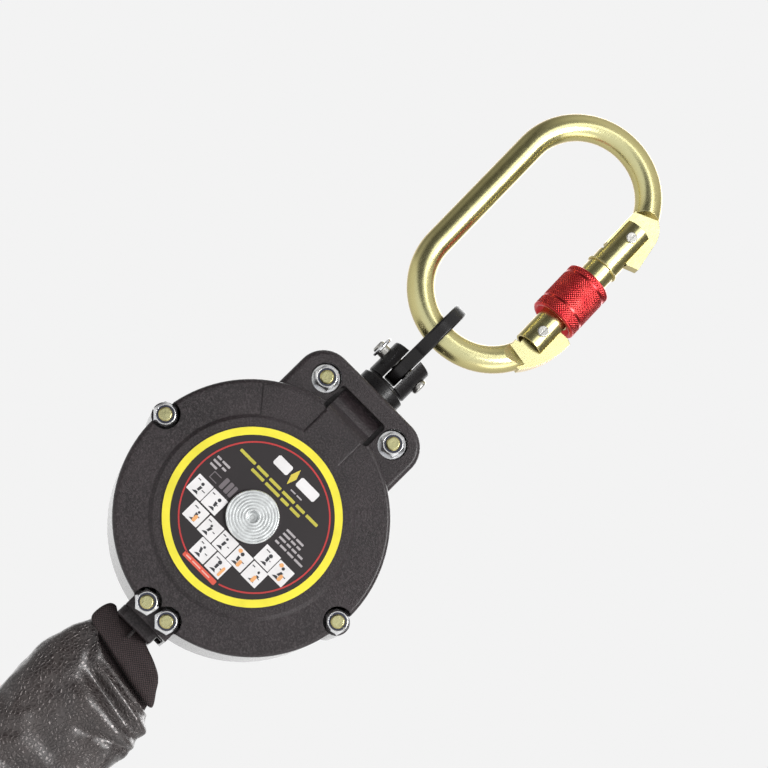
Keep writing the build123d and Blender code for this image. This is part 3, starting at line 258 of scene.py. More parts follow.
def leather_material():
    """Black grained leather: pebbles with glossier tops and creases between them, the creases painted
    near-black as painted shade.
    """
    material, tree, shader = new_material("leather")
    warp = node(tree, "TexNoise", {"Vector": coords(tree), "Scale": 300.0, "Detail": 3.0}).outputs["Color"]
    moved = node(tree, "VectorMath", {0: warp, 1: (0.0005, 0.0005, 0.0005)}, operation="MULTIPLY").outputs[0]
    place = node(tree, "VectorMath", {0: coords(tree, (1, 1, 0.8)), 1: moved}, operation="ADD").outputs[0]
    cells = node(tree, "TexVoronoi", {"Vector": place, "Scale": 720.0}, feature="DISTANCE_TO_EDGE").outputs[0]
    pebble = node(tree, "MapRange", {"Value": cells, 1: 0.0, 2: 0.26, 3: 0.0, 4: 1.0},
                  interpolation_type="SMOOTHERSTEP").outputs[0]
    pores = noise_at(tree, place, 4200.0, 2.0)
    broad = noise_at(tree, coords(tree), 70.0, 5.0)
    # Painted shade: the creases between pebbles are near-black, the pebble tops lighter.
    colour = mix(tree, pebble, (0.0006, 0.0004, 0.0005), (0.012, 0.0085, 0.0092))
    dusty = ramp(tree, broad, [(0.35, (0.004, 0.0030, 0.0035)), (0.6, (0.022, 0.0145, 0.0125)),
                               (0.8, (0.012, 0.0085, 0.0090))])
    put(tree, shader.inputs["Base Color"], mix(tree, 0.45, colour, dusty))
    rough = node(tree, "MapRange", {"Value": pebble, 1: 0.0, 2: 1.0, 3: 0.8, 4: 0.25})
    put(tree, shader.inputs["Roughness"], rough.outputs[0])
    height = maths(tree, "ADD", pebble, maths(tree, "MULTIPLY", pores, 0.15))
    put(tree, shader.inputs["Coat Weight"], 0.8)
    put(tree, shader.inputs["Coat Roughness"], 0.30)
    put(tree, shader.inputs["Normal"], bump(tree, height, 0.00030, 1.0))
    put(tree, shader.inputs["Specular Tint"], (1.0, 0.90, 0.88))
    put(tree, shader.inputs["Specular IOR Level"], 1.0)
    return material


def woven_material(name, colour, warm, pitch=0.00085, across="X", along="Z"):
    """Tight plain weave with two thread tones."""
    material, tree, shader = new_material(name)
    place = node(tree, "TexCoord").outputs["Object"]
    split = node(tree, "SeparateXYZ", {0: place})
    warp = maths(tree, "SINE", maths(tree, "MULTIPLY", split.outputs[across], TURN / pitch))
    weft = maths(tree, "SINE", maths(tree, "MULTIPLY", split.outputs[along], TURN / pitch * 0.8))
    over = maths(tree, "MULTIPLY", warp, weft)
    slubs = noise_at(tree, place, 900.0, 4.0)
    threads = ramped(tree, over, -0.6, 0.8)
    tone = mix(tree, threads, colour, warm)
    put(tree, shader.inputs["Base Color"], mix(tree, maths(tree, "MULTIPLY", slubs, 0.3), tone, colour))
    put(tree, shader.inputs["Roughness"], 0.72)
    put(tree, shader.inputs["Sheen Weight"], 0.1)
    put(tree, shader.inputs["Sheen Roughness"], 0.4)
    height = maths(tree, "ADD", threads, maths(tree, "MULTIPLY", slubs, 0.5))
    put(tree, shader.inputs["Normal"], bump(tree, height, 0.00016, 0.8))
    return material


def print_material(name, colour, roughness=0.42):
    """Printed ink with a faint screen texture."""
    material, tree, shader = new_material(name)
    place = coords(tree)
    fine = noise_at(tree, place, 3500.0, 2.0)
    worn = noise_at(tree, place, 120.0, 5.0)
    put(tree, shader.inputs["Base Color"],
        ramp(tree, worn, [(0.3, tuple(c * 0.88 for c in colour)), (0.6, colour)]))
    put(tree, shader.inputs["Roughness"], roughness)
    put(tree, shader.inputs["Normal"], bump(tree, fine, 0.00001, 0.4))
    return material


M = {
    "shell": plastic_material("shell_black", (0.0125, 0.0080, 0.0092), 0.40, grain=0.00040, edge=0.0006,
                              specular=0.30, coat=1.0, painted_glints_amount=0.32),
    "label": print_material("label_black", (0.013, 0.0085, 0.0100), 0.55),
    "zinc": zinc_material(),
    "screw_zinc": zinc_material("screw_zinc", dim=0.85, dent=0.00015),
    "bright": metal_material("bright_zinc", (0.90, 0.90, 0.89), 0.24, tint=(0.76, 0.77, 0.80)),
    "turned": turned_material("turned_steel", (0.93, 0.96, 0.96)),
    "red": metal_material("red_anodised", (0.68, 0.070, 0.066), 0.28, tint=(0.50, 0.030, 0.036),
                          edge=0.0001),
    "black_steel": plastic_material("black_steel", (0.0060, 0.0052, 0.0056), 0.30, grain=0.00004,
                                    edge=0.0004, specular=0.35),
    "frame": metal_material("frame_steel", (0.60, 0.60, 0.58), 0.38),
    "hard": metal_material("hard_steel", (0.30, 0.29, 0.29), 0.36),
    "spring": metal_material("spring_steel", (0.42, 0.44, 0.50), 0.25),
    "stainless": metal_material("stainless", (0.56, 0.55, 0.52), 0.30),
    "bronze": metal_material("bronze", (0.62, 0.40, 0.20), 0.4),
    "aluminium": metal_material("spool_aluminium", (0.76, 0.77, 0.79), 0.34),
    "nylon": plastic_material("nylon", (0.030, 0.033, 0.055), 0.42, grain=0.00003, edge=0.0002),
    "acetal": plastic_material("acetal", (0.020, 0.019, 0.020), 0.35, grain=0.00002, edge=0.0002),
    "web": woven_material("webbing", (0.0015, 0.0013, 0.0014), (0.066, 0.037, 0.038)),
    "web_side": woven_material("webbing_side", (0.008, 0.0065, 0.007), (0.045, 0.034, 0.034), across="Y"),
    "tear": woven_material("tear_webbing", (0.30, 0.25, 0.20), (0.45, 0.38, 0.30), across="Y"),
    "leather": leather_material(),
    "yellow": print_material("label_yellow", (0.86, 0.76, 0.045), 0.42),
    "ink_red": print_material("label_red", (0.50, 0.035, 0.035)),
    "ink_white": print_material("label_white", (0.80, 0.78, 0.78)),
    "ink_gold": print_material("label_gold", (0.66, 0.54, 0.07)),
    "ink_orange": print_material("label_orange", (0.82, 0.40, 0.16)),
    "ink_grey": print_material("label_grey", (0.42, 0.39, 0.40)),
    "ink_dim": print_material("label_dim", (0.16, 0.14, 0.15)),
    "ink_black": print_material("label_ink_black", (0.035, 0.035, 0.04)),
    "ink_lines": print_material("label_yellow_print", (0.52, 0.47, 0.06)),
    "ink_bar": print_material("label_bar", (0.72, 0.10, 0.06)),
    "ink_pink": print_material("label_pink", (0.80, 0.42, 0.36)),
    "thread": plastic_material("thread", (0.045, 0.040, 0.040), 0.6),
}

NODE_LOOKS = {
    "shell": ["front_shell", "rear_shell", "exit_guide"],
    "label": ["label_disc"],
    "zinc": ["anchor_connector_body", "anchor_connector_gate", "anchor_connector_stop_ring",
             "user_connector_body", "user_connector_gate", "user_connector_stop_ring"],
    "screw_zinc": ["clamp_screws"],
    "bright": ["lock_nuts", "head_washers", "spring_case_screws", "pin_ring"],
    "turned": ["front_axle_screw", "rear_axle_screw"],
    "red": ["anchor_connector_sleeve", "user_connector_sleeve"],
    "black_steel": ["eye_plate", "swivel_clevis"],
    "frame": ["front_frame", "rear_frame", "swivel_block", "spring_cover"],
    "hard": ["swivel_nut", "swivel_lock_pin", "drum_axle", "ratchet_ring", "webbing_anchor_pin", "pawl_pins",
             "pawl_a", "pawl_b"],
    "spring": ["mainspring", "anchor_connector_spring", "user_connector_spring", "pawl_springs"],
    "stainless": ["anchor_connector_rivets", "user_connector_rivets", "clevis_pin", "ring_rivets",
                  "spool_rivets"],
    "bronze": ["swivel_bush", "thrust_washer", "drum_bushes"],
    "aluminium": ["spool_hub", "spool_flanges"],
    "nylon": ["nut_inserts", "spring_case"],
    "acetal": ["guide_roller_left", "guide_roller_right"],
    "web": ["webbing_coil", "webbing_lead", "webbing_tail", "woven_end"],
    "web_side": ["line_end_loop"],
    "tear": ["tear_webbing_pack"],
    "leather": ["absorber_cover"],
}


def paint(obj, material):
    if not obj.data.materials:
        obj.data.materials.append(material)
    for i in range(len(obj.data.materials)):
        obj.data.materials[i] = material


for look, names in NODE_LOOKS.items():
    for name in names:
        paint(nodes[name], M[look])


# ======================= mesh helpers =======================
def piece(name, verts, faces, material, body, replaced=(), smooth=True):
    """New mesh object in the CAD frame that rides a body."""
    mesh = bpy.data.meshes.new(name)
    mesh.from_pydata([tuple(v) for v in verts], [], faces)
    bm = bmesh.new()
    bm.from_mesh(mesh)
    bmesh.ops.remove_doubles(bm, verts=bm.verts, dist=1e-7)
    bmesh.ops.recalc_face_normals(bm, faces=bm.faces)
    bm.to_mesh(mesh)
    bm.free()
    mesh.validate()
    for face in mesh.polygons:
        face.use_smooth = smooth
    made = bpy.data.objects.new(name, mesh)
    bpy.context.collection.objects.link(made)
    made.data.materials.append(material)
    if body:
        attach(made, body)
    if replaced:
        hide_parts(*replaced)
    return made


def bridge(rings, closed_ends=True, looped=False):
    """Points and quads of a skin over rings of equal length."""
    count = len(rings[0])
    verts = [p for ring in rings for p in ring]
    faces = []
    last = len(rings) if looped else len(rings) - 1
    for i in range(last):
        low, high = i * count, (i + 1) % len(rings) * count
        for j in range(count):
            k = (j + 1) % count
            faces.append((low + j, low + k, high + k, high + j))
    if closed_ends and not looped:
        faces.append(tuple(range(count)))
        faces.append(tuple(reversed(range(len(verts) - count, len(verts)))))
    return verts, faces


def smoothstep(low, high, value):
    t = min(1.0, max(0.0, (value - low) / (high - low)))
    return t * t * (3 - 2 * t)


def along(table, value):
    """Straight-line value from a short table of (place, value) in rising order."""
    if value <= table[0][0]:
        return table[0][1]
    for (a, first), (b, second) in zip(table, table[1:]):
        if value <= b:
            return first + (second - first) * (value - a) / (b - a)
    return table[-1][1]


# ======================= connectors =======================
ARC = 25.2 * MM  # radius of the connector's ends, to the middle of the rod
GATE_X = 23.8 * MM  # from the connector's middle line to the gate's axis
LINE_X = 3.8 * MM  # middle of the lower strap and connector
LOOP_Z = -262.0 * MM  # rod of the lower connector where the strap holds it
TOP_FOOT = Vector((2.13, 0.0, 95.9)) * MM  # rod of the upper connector where the eye hangs
LEAN = math.radians(-9.0)
ROCK = math.radians(-1.4)
top_frame = (Matrix.Translation(TOP_FOOT) @ Matrix.Rotation(LEAN, 4, "X")
             @ Matrix.Translation((0, 0, ARC)) @ Matrix.Rotation(ROCK, 4, "Y"))
low_frame = Matrix.Translation((LINE_X, 0, LOOP_Z - ARC)) @ Matrix.Rotation(math.pi, 4, "X")

# Screw sleeve in millimetres, on the gate's axis, heights from the lower end of the straight part.
KNURL_PITCH = 1.02
KNURL_DEPTH = 0.26
SLEEVE_RADIUS = 9.0
SLEEVE_BORE = 5.66
MOUTH_RADIUS = 7.5
MOUTH_DEPTH = 4.0
SLEEVE_SPAN = (8.5, 28.8)
SLEEVE_GROOVES = (13.6, 26.0)
GROOVE_DEPTH = 0.33


def triangle_wave(value):
    return 1.0 - 2.0 * abs(value - math.floor(value) - 0.5)


def knurled_radius(turn, z):
    """Radius of the cut skin at a part of a turn and a height."""
    low, high = SLEEVE_SPAN
    teeth = round(TURN * SLEEVE_RADIUS / KNURL_PITCH)
    rise = z / KNURL_PITCH
    cut = min(triangle_wave(turn * teeth + rise), triangle_wave(turn * teeth - rise))
    groove = min(abs(z - g) for g in SLEEVE_GROOVES)
    plain = smoothstep(0.75, 0.5, groove) if groove > 0.5 else 1.0
    fade = smoothstep(0.0, 0.8, z - low - 0.5) * smoothstep(0.0, 0.8, high - 0.5 - z)
    depth = KNURL_DEPTH * (1.0 - smoothstep(0.0, 0.85, cut)) * fade
    return SLEEVE_RADIUS - max(depth * (1 - plain), GROOVE_DEPTH * plain)


def knurled_sleeve(name, place, body, node_name):
    """Screw sleeve with a cut diamond knurl, two turned grooves and an open mouth."""
    low, high = SLEEVE_SPAN
    around = 392
    steps = 116
    rows = [(8.0, low), (8.5, low), (SLEEVE_RADIUS, low + 0.5)]
    rows += [(None, low + 0.5 + (high - low - 1.0) * i / steps) for i in range(1, steps)]
    rows += [(SLEEVE_RADIUS, high - 0.5), (8.5, high), (6.1, high), (SLEEVE_BORE, high - 0.4),
             (SLEEVE_BORE, low + MOUTH_DEPTH), (MOUTH_RADIUS, low + MOUTH_DEPTH), (MOUTH_RADIUS, low)]
    rings = []
    for radius, z in rows:
        ring = []
        for j in range(around):
            angle = TURN * j / around
            reach = knurled_radius(j / around, z) if radius is None else radius
            ring.append(place @ (Vector((reach * math.cos(angle), reach * math.sin(angle), z)) * MM
                                 + Vector((GATE_X, 0, 0))))
        rings.append(ring)
    verts, faces = bridge(rings, looped=True)
    return piece(name, verts, faces, M["red"], body, (node_name,))


knurled_sleeve("anchor_sleeve_knurled", top_frame, "anchor_sleeve", "anchor_connector_sleeve")
knurled_sleeve("user_sleeve_knurled", low_frame, "user_sleeve", "user_connector_sleeve")


# ======================= label artwork =======================
LABEL_FACE = -26.3  # Y of the label's face, in millimetres
INK = 0.07  # how far the ink stands proud
BURIED = 0.02  # how far the ink reaches into the label


def printed(name, shapes, material, lift=0.0):
    """Flat ink shapes on the label: outlines in X and Z, given in millimetres."""
    verts = []
    faces = []
    front = (LABEL_FACE - INK - lift) * MM
    back = (LABEL_FACE + BURIED) * MM
    for outline in shapes:
        start = len(verts)
        count = len(outline)
        verts += [(x * MM, front, z * MM) for x, z in outline]
        verts += [(x * MM, back, z * MM) for x, z in outline]
        faces.append(tuple(range(start, start + count)))
        faces.append(tuple(reversed(range(start + count, start + 2 * count))))
        for i in range(count):
            j = (i + 1) % count
            faces.append((start + i, start + j, start + count + j, start + count + i))
    return piece(name, verts, faces, material, "housing", smooth=False)


def ink_band(name, inner, outer, material, centre=(0.0, 0.0), gap=None):
    """Printed ring, whole or with a gap given in degrees either side of straight down."""
    first = -90 + gap if gap else 0
    sweep = 360 - 2 * gap if gap else 360
    count = 144
    steps = count + 1 if gap else count
    rings = []
    for i in range(steps):
        angle = math.radians(first + sweep * i / count)
        out = (math.cos(angle), math.sin(angle))
        ring = []
        for radius, y in ((inner, BURIED), (outer, BURIED), (outer, -INK), (inner, -INK)):
            ring.append(((centre[0] + radius * out[0]) * MM, (LABEL_FACE + y) * MM,
                         (centre[1] + radius * out[1]) * MM))
        rings.append(ring)
    verts, faces = bridge(rings, looped=not gap)
    return piece(name, verts, faces, material, "housing", smooth=False)


def block(x0, x1, z0, z1, cut=0.0):
    if not cut:
        return [(x0, z0), (x1, z0), (x1, z1), (x0, z1)]
    return [(x0 + cut, z0), (x1 - cut, z0), (x1, z0 + cut), (x1, z1 - cut), (x1 - cut, z1),
            (x0 + cut, z1), (x0, z1 - cut), (x0, z0 + cut)]


def disc(x, z, radius, count=14):
    return [(x + radius * math.cos(TURN * i / count), z + radius * math.sin(TURN * i / count))
            for i in range(count)]


def dashes(draw, x0, x1, z0, z1, shortest, longest, gap):
    """Row of plain bars that stands for a line of small print."""
    bars = []
    x = x0
    while x < x1 - shortest:
        width = min(draw.uniform(shortest, longest), x1 - x)
        bars.append(block(x, x + width, z0, z1, (z1 - z0) * 0.15))
        x += width + gap
    return bars


TILES = [(-23.4, -9.1), (-16.3, -9.1), (10.2, -9.7), (17.3, -10.2), (-17.9, -16.5), (-10.6, -16.6),
         (-3.4, -16.6), (3.8, -16.7), (11.1, -16.9), (-7.2, -23.7), (0.1, -23.7)]
TILE = 6.8
WHITE_LINES = [(-23.4, -17.4, 6.3), (-23.5, -17.2, 4.6), (-23.5, -20.4, 2.9), (11.4, 19.8, 5.4),
               (11.4, 21.4, 3.7), (11.3, 24.2, 1.9), (11.2, 25.6, 0.0)]


def tile_marks(draw, x, z):
    """Abstract sign for one tile: a dot, a leaning bar, a foot and at times an orange patch."""
    middle = x + TILE / 2 + draw.uniform(-0.9, 0.9)
    dark = [disc(middle, z + draw.uniform(4.3, 5.2), draw.uniform(0.45, 0.75))]
    lean = draw.uniform(-0.8, 0.8)
    dark.append([(middle - 0.45, z + 2.2), (middle + 0.45, z + 2.2), (middle + 0.55 + lean, z + 3.9),
                 (middle - 0.55 + lean, z + 3.9)])
    dark.append([(middle - 1.5, z + 0.9), (middle + 1.1, z + 0.9), (middle + 0.3, z + 1.9),
                 (middle - 0.5, z + 1.7)])
    start = x + draw.uniform(0.5, 1.2)
    dark.append(block(start, start + draw.uniform(0.9, 1.8), z + 5.2, z + 5.55))
    dark.append(block(x + 4.6, x + 4.6 + draw.uniform(0.6, 1.4), z + 3.0, z + 3.3))
    return dark


def label_art():
    """Rings, plain bars and abstract signs of the label's printing."""
    draw = random.Random(11)
    ink_band("label_ring_yellow", 28.5, 31.25, M["yellow"])
    ink_band("label_ring_red", 25.85, 26.4, M["ink_red"], (0.55, 0.4), gap=17)
    printed("label_title", [block(-8.6, -1.9, 18.3, 22.1, 0.5), block(2.4, 11.1, 18.3, 22.1, 0.5)],
            M["ink_white"])
    printed("label_title_accent", [[(0.25, 16.4), (1.5, 19.9), (0.25, 23.4), (-1.0, 19.9)]], M["ink_gold"])
    printed("label_title_note", dashes(draw, 2.6, 9.4, 15.9, 16.4, 1.6, 3.0, 0.6), M["ink_grey"])
    yellow = dashes(draw, -19.4, 21.0, 13.1, 14.2, 3.2, 7.5, 0.9)
    yellow += dashes(draw, -12.0, 13.2, 11.0, 12.1, 3.2, 7.5, 0.9)
    printed("label_lines_yellow", yellow, M["ink_lines"])
    white = []
    for x0, x1, z in WHITE_LINES:
        white += dashes(draw, x0, x1, z - 0.4, z + 0.4, 1.7, 4.2, 0.6)
    printed("label_lines_white", white, M["ink_grey"])
    printed("label_marks_grey", [block(-20.4, -17.0, -0.9, -0.6), block(-20.4, -20.1, -0.6, 2.0),
                                 block(-20.1, -17.0, 1.7, 2.0), block(-15.8, -14.2, -1.0, 3.4, 0.3),
                                 block(-13.6, -12.0, -1.0, 3.4, 0.3), block(-11.6, -10.2, -1.0, 3.4, 0.3)],
            M["ink_dim"])
    printed("label_tiles", [block(x, x + TILE, z, z + TILE, 0.15) for x, z in TILES], M["ink_white"])
    dark = []
    warm = []
    for number, (x, z) in enumerate(TILES):
        dark += tile_marks(draw, x, z)
        if number in (3, 4, 7, 8):
            warm.append(block(x + 3.6, x + 4.9, z + 0.8, z + 3.4, 0.4))
        if number in (3, 7):
            warm.append(disc(x + 1.6, z + 5.6, 0.75))
        if number == 10:
            warm.append(block(x + 5.2, x + 6.2, z + 0.8, z + 4.6, 0.3))
    printed("label_signs_dark", dark, M["ink_black"], 0.05)
    printed("label_signs_warm", warm, M["ink_orange"], 0.09)
    printed("label_bar_red", [block(-7.9, 7.2, -26.3, -24.4, 0.3)], M["ink_bar"])
    printed("label_bar_dashes", dashes(draw, -6.8, 6.4, -25.6, -25.1, 2.0, 4.0, 0.7), M["ink_pink"], 0.05)


label_art()


# ======================= webbing and absorber =======================
SECTION = 28  # points round a strap
STRAP_HALF = (8.0 * MM, 1.2 * MM)  # lower strap: half width, half thickness
LINE_HALF = (9.9 * MM, 0.62 * MM)  # paid-out line: half width, half thickness
LINE_ENDS = (-50.2 * MM, -58.5 * MM)  # inside the exit guide, inside the folded webbing
TACK_X = (-2.4, 10.0)  # bar-tacked patch of the lower strap, in millimetres
TACK_Z = (-242.0, -234.5)
TACK_FACE = 2.55


def squared(angle, power_across, power_through):
    """Point on a squared-off unit circle; the lower the power, the flatter the side."""
    across = math.copysign(abs(math.cos(angle)) ** power_across, math.cos(angle))
    through = math.copysign(abs(math.sin(angle)) ** power_through, math.sin(angle))
    return across, through


def ribbon(name, path, half, material, body, replaced=()):
    """Webbing with rounded selvedges along a path in a Y-Z plane; its width runs along X."""
    rings = []
    count = len(path)
    flat = Vector((1, 0, 0))
    for i, (x, y, z) in enumerate(path):
        before = Vector(path[max(i - 1, 0)])
        after = Vector(path[min(i + 1, count - 1)])
        out = (after - before).normalized().cross(flat)
        ring = []
        for k in range(SECTION):
            across, through = squared(TURN * k / SECTION, 0.22, 0.55)
            ring.append(Vector((x, y, z)) + flat * (across * half[0]) + out * (through * half[1]))
        rings.append(ring)
    verts, faces = bridge(rings)
    return piece(name, verts, faces, material, body, replaced)


def loop_path():
    """Down from the pack, round the rod and back up."""
    radius = 9.25 * MM
    gap = 1.3 * MM
    top, split = -226 * MM, -243 * MM
    start = math.radians(62)
    path = [(LINE_X, gap, top + (split - top) * i / 8) for i in range(9)]
    joined = Vector((radius * math.cos(start), LOOP_Z + radius * math.sin(start)))
    for i in range(1, 8):
        t = i / 8
        spreading = 0.5 * t + 0.5 * smoothstep(0, 1, t)
        path.append((LINE_X, gap + (joined.x - gap) * spreading, split + (joined.y - split) * t))
    for i in range(41):
        angle = start - (math.pi + 2 * start) * i / 40
        path.append((LINE_X, radius * math.cos(angle), LOOP_Z + radius * math.sin(angle)))
    mirrored = [(x, -y, z) for x, y, z in reversed(path[:16])]
    return path + mirrored


def stitches(name, places, body):
    """Small raised thread bars: centre, half length vector and half width."""
    verts = []
    faces = []
    for centre, reach, half in places:
        side = reach.cross(Vector((0, 1, 0))).normalized() * half
        out = Vector((0, half * 1.1, 0))
        start = len(verts)
        rings = []
        for t in (-1.0, -0.7, 0.0, 0.7, 1.0):
            swell = math.sqrt(max(0.05, 1 - t * t * 0.9))
            rings.append([centre + reach * t + side * (swell * math.cos(a)) + out * (swell * math.sin(a))
                          for a in (TURN * k / 8 for k in range(8))])
        made, skin = bridge(rings)
        verts += made
        faces += [tuple(start + i for i in face) for face in skin]
    return piece(name, verts, faces, M["thread"], body)


def bar_tack(y, columns, rows):
    """Places of the thread bars on one face of the strap."""
    places = []
    for i in range(columns):
        x = TACK_X[0] + (TACK_X[1] - TACK_X[0]) * i / (columns - 1)
        for j in range(rows):
            z = TACK_Z[0] + (TACK_Z[1] - TACK_Z[0]) * j / (rows - 1)
            places.append((Vector((x, y, z)) * MM, Vector((0, 0, 0.8 * MM)), 0.22 * MM))
    return places


ribbon("line_end_strap", loop_path(), STRAP_HALF, M["web_side"], "line_end", ("line_end_loop",))
stitches("line_end_stitches", bar_tack(-TACK_FACE, 9, 5) + bar_tack(TACK_FACE, 9, 5), "line_end")


def paid_out_webbing():
    """Line between the exit guide and the pack, built as a straight strip at its rest length."""
    low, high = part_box("webbing_tail")
    x = (low[0] + high[0]) / 2
    top, bottom = LINE_ENDS
    rings = []
    for i in range(31):
        z = top + (bottom - top) * i / 30
        ring = []
        for k in range(SECTION):
            across, through = squared(TURN * k / SECTION, 0.22, 0.6)
            ring.append((x + through * LINE_HALF[1], across * LINE_HALF[0], z))
        rings.append(ring)
    verts, faces = bridge(rings)
    made = piece("line_webbing", verts, faces, M["web_side"], None, ("webbing_tail",))
    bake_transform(made)


paid_out_webbing()


def smooth_outline(points, per_side):
    """Closed Catmull-Rom curve through the points."""
    count = len(points)
    curve = []
    for i in range(count):
        a, b, c, d = (Vector((*points[(i + k) % count], 0)) for k in (-1, 0, 1, 2))
        for j in range(per_side):
            t = j / per_side
            p = 0.5 * (2 * b + (c - a) * t + (2 * a - 5 * b + 4 * c - d) * t * t
                       + (3 * b - a - 3 * c + d) * t ** 3)
            curve.append((p.x, p.y))
    return curve


def folded_layer(name, points, centre, y_middle, half, material, replaced=(), waves=0.25):
    """One soft layer of folded webbing: a flat pad with rolled edges and slight waves."""
    outline = smooth_outline(points, 8)
    profile = 36
    rings = []
    for k in range(profile + 1):
        t = math.pi * k / profile
        scale = 0.02 if k in (0, profile) else min(1.0, math.sin(t) ** 0.32)
        y = -half * math.copysign(abs(math.cos(t)) ** 0.5, math.cos(t))
        ring = []
        for x, z in outline:
            px = centre[0] + (x - centre[0]) * scale
            pz = centre[1] + (z - centre[1]) * scale
            wave = noise.noise(Vector((px * 0.12, y_middle, pz * 0.25))) * waves * 2
            ring.append((px * MM, (y_middle + y + wave) * MM, pz * MM))
        rings.append(ring)
    verts, faces = bridge(rings)
    return piece(name, verts, faces, material, "line_end", replaced)


FRONT_LAYER = [(-14.9, -61.8), (-14.9, -57.4), (-13.6, -54.2), (-11.4, -53.4), (-9.8, -54.9), (-7.0, -55.1),
               (3.0, -54.9), (12.0, -58.2), (17.0, -61.0), (19.4, -64.2), (22.4, -69.6), (15.0, -69.5),
               (3.0, -67.1), (-6.0, -65.0), (-12.0, -63.8)]
INNER_LAYER = [(-12.6, -61.0), (-11.4, -55.6), (3.0, -55.0), (14.5, -58.8), (18.6, -63.0), (21.0, -70.0),
               (21.0, -77.5), (4.0, -77.5), (-13.4, -77.0), (-14.2, -67.0)]
BACK_LAYER = [(-12.6, -62.0), (-11.0, -56.2), (3.0, -55.2), (12.0, -58.2), (17.4, -61.6), (20.4, -68.8),
              (4.0, -70.0), (-12.4, -67.5)]
folded_layer("folded_webbing_front", FRONT_LAYER, (2.0, -62.4), -4.9, 2.3, M["web"], ("woven_end",), 0.3)
folded_layer("folded_webbing_inner", INNER_LAYER, (3.0, -67.0), -0.2, 3.6, M["web"])
folded_layer("folded_webbing_back", BACK_LAYER, (3.0, -63.2), 4.6, 2.2, M["web"])


# ---- leather sleeve over the absorber: each table is (Z, value), in millimetres ----
BOTTOM = -232.0
MIDDLE_X = 3.6
HALF_WIDTH = 20.0  # near enough to find the rim's height
LEFT_EDGE = [(BOTTOM, -18.2), (-225, -19.6), (-160, -20.0), (-84, -20.1), (-78, -19.7), (-71.4, -18.4),
             (-67, -16.9), (-61, -14.8)]
RIGHT_EDGE = [(BOTTOM, 25.6), (-225, 27.0), (-160, 27.2), (-84, 26.9), (-79, 26.2), (-74, 24.2),
              (-71, 23.2), (-61, 17.0)]
HALF_DEPTH = [(BOTTOM, 8.6), (-226, 12.2), (-215, 13.8), (-150, 14.2), (-90, 13.8), (-80, 12.6),
              (-72, 10.6), (-61, 8.6)]
# Height of the slanted rim, as (X, Z).
RIM = [(-20, -61.2), (-14.5, -61.8), (-11.5, -64.2), (-5, -67.6), (0, -69.5), (10, -71.0), (20, -72.4),
       (28, -73.6)]


def crease(x, z, centre_line, width, depth, reach):
    """Valley along a slanted line: centre_line gives (z at x = 0, slope)."""
    offset = z - centre_line[0] - centre_line[1] * x
    return -depth * math.exp(-(offset / width) ** 2) * reach


def leather_relief(x, y, z):
    """Folds of the sleeve in millimetres, outward positive."""
    front = smoothstep(2.0, -5.0, y)
    right = smoothstep(-6.0, 5.0, x)
    relief = crease(x, z, (-76.8, -0.18), 2.1, 2.5, front * right)
    relief += 1.9 * math.exp(-((z + 73.0 + 0.15 * x) / 1.7) ** 2) * front * right
    relief += 2.4 * math.exp(-((z + 85.5 - 0.1 * x) / 5.6) ** 2) * front * smoothstep(-9.0, 4.0, x)
    relief += crease(x, z, (-96.5, 0.42), 1.8, 1.6, front * smoothstep(6.0, 16.0, x))
    relief += crease(x, z, (-79.0, -1.2), 3.0, 0.9, front * smoothstep(-2.0, -8.0, x))
    relief += crease(x, z, (-118.0, 0.35), 3.2, 1.3, smoothstep(4.0, -6.0, y * 0.8))
    relief += crease(x, z, (-151.0, -0.3), 3.0, 1.5, smoothstep(-4.0, 6.0, y))
    relief += crease(x, z, (-176.0, 0.22), 3.4, 1.4, front)
    relief += crease(x, z, (-204.0, -0.18), 2.6, 1.5, 1.0)
    relief += crease(x, z, (-128.0, 0.3), 2.8, 1.2, smoothstep(-2.0, 7.0, y))
    spot = Vector((x, y, z))
    relief += 1.5 * noise.noise(spot * 0.042) + 0.8 * noise.noise(spot * 0.13)
    relief += 0.2 * noise.noise(Vector((x * 0.4, y * 0.4, z * 0.16)))
    return relief


def leather_ring(level, inset, around):
    """One ring of the sleeve; level runs from 0 at the bottom to 1 at the slanted rim."""
    ring = []
    for j in range(around):
        across, through = squared(TURN * j / around, 0.72, 0.72)
        top = along(RIM, MIDDLE_X + across * HALF_WIDTH)
        z = BOTTOM + (top - BOTTOM) * level
        left, right = along(LEFT_EDGE, z), along(RIGHT_EDGE, z)
        half = (right - left) / 2
        x = (left + right) / 2 + across * (half - inset)
        y = through * (along(HALF_DEPTH, z) - inset)
        out = Vector((across, through)).normalized()
        push = leather_relief(x, y, z) * smoothstep(BOTTOM, BOTTOM + 10, z)
        ring.append(Vector(((x + out.x * push) * MM, (y + out.y * push) * MM, z * MM)))
    return ring


def leather_sleeve():
    """Outer skin from the bottom up to the rim, rolled over it and down inside."""
    around = 160
    rings = []
    for inset, drop in ((13.0, 0.72), (9.0, 0.6), (5.0, 0.3), (2.4, -0.18), (0.9, -0.84)):
        rings.append([p + Vector((0, 0, -drop * MM)) for p in leather_ring(0.0, inset, around)])
    steps = 190
    for i in range(1, steps + 1):
        rings.append(leather_ring((i / steps) ** 0.8, 0.0, around))
    for inset, lift in ((0.35, 0.45), (0.9, 0.6), (1.5, 0.35), (1.7, -0.4)):
        rings.append([p + Vector((0, 0, lift * MM)) for p in leather_ring(1.0, inset, around)])
    for level in (0.99, 0.975, 0.95, 0.92):
        rings.append(leather_ring(level, 1.8, around))
    for inset in (5.0, 9.5, 13.0):
        rings.append(leather_ring(0.915, inset, around))
    verts, faces = bridge(rings)
    return piece("leather_sleeve", verts, faces, M["leather"], "line_end", ("absorber_cover",))


leather = leather_sleeve()


# ======================= stage, light and camera =======================
def plane(name, size, place):
    bpy.ops.mesh.primitive_plane_add(size=size, location=place)
    made = bpy.context.object
    made.name = name
    return made


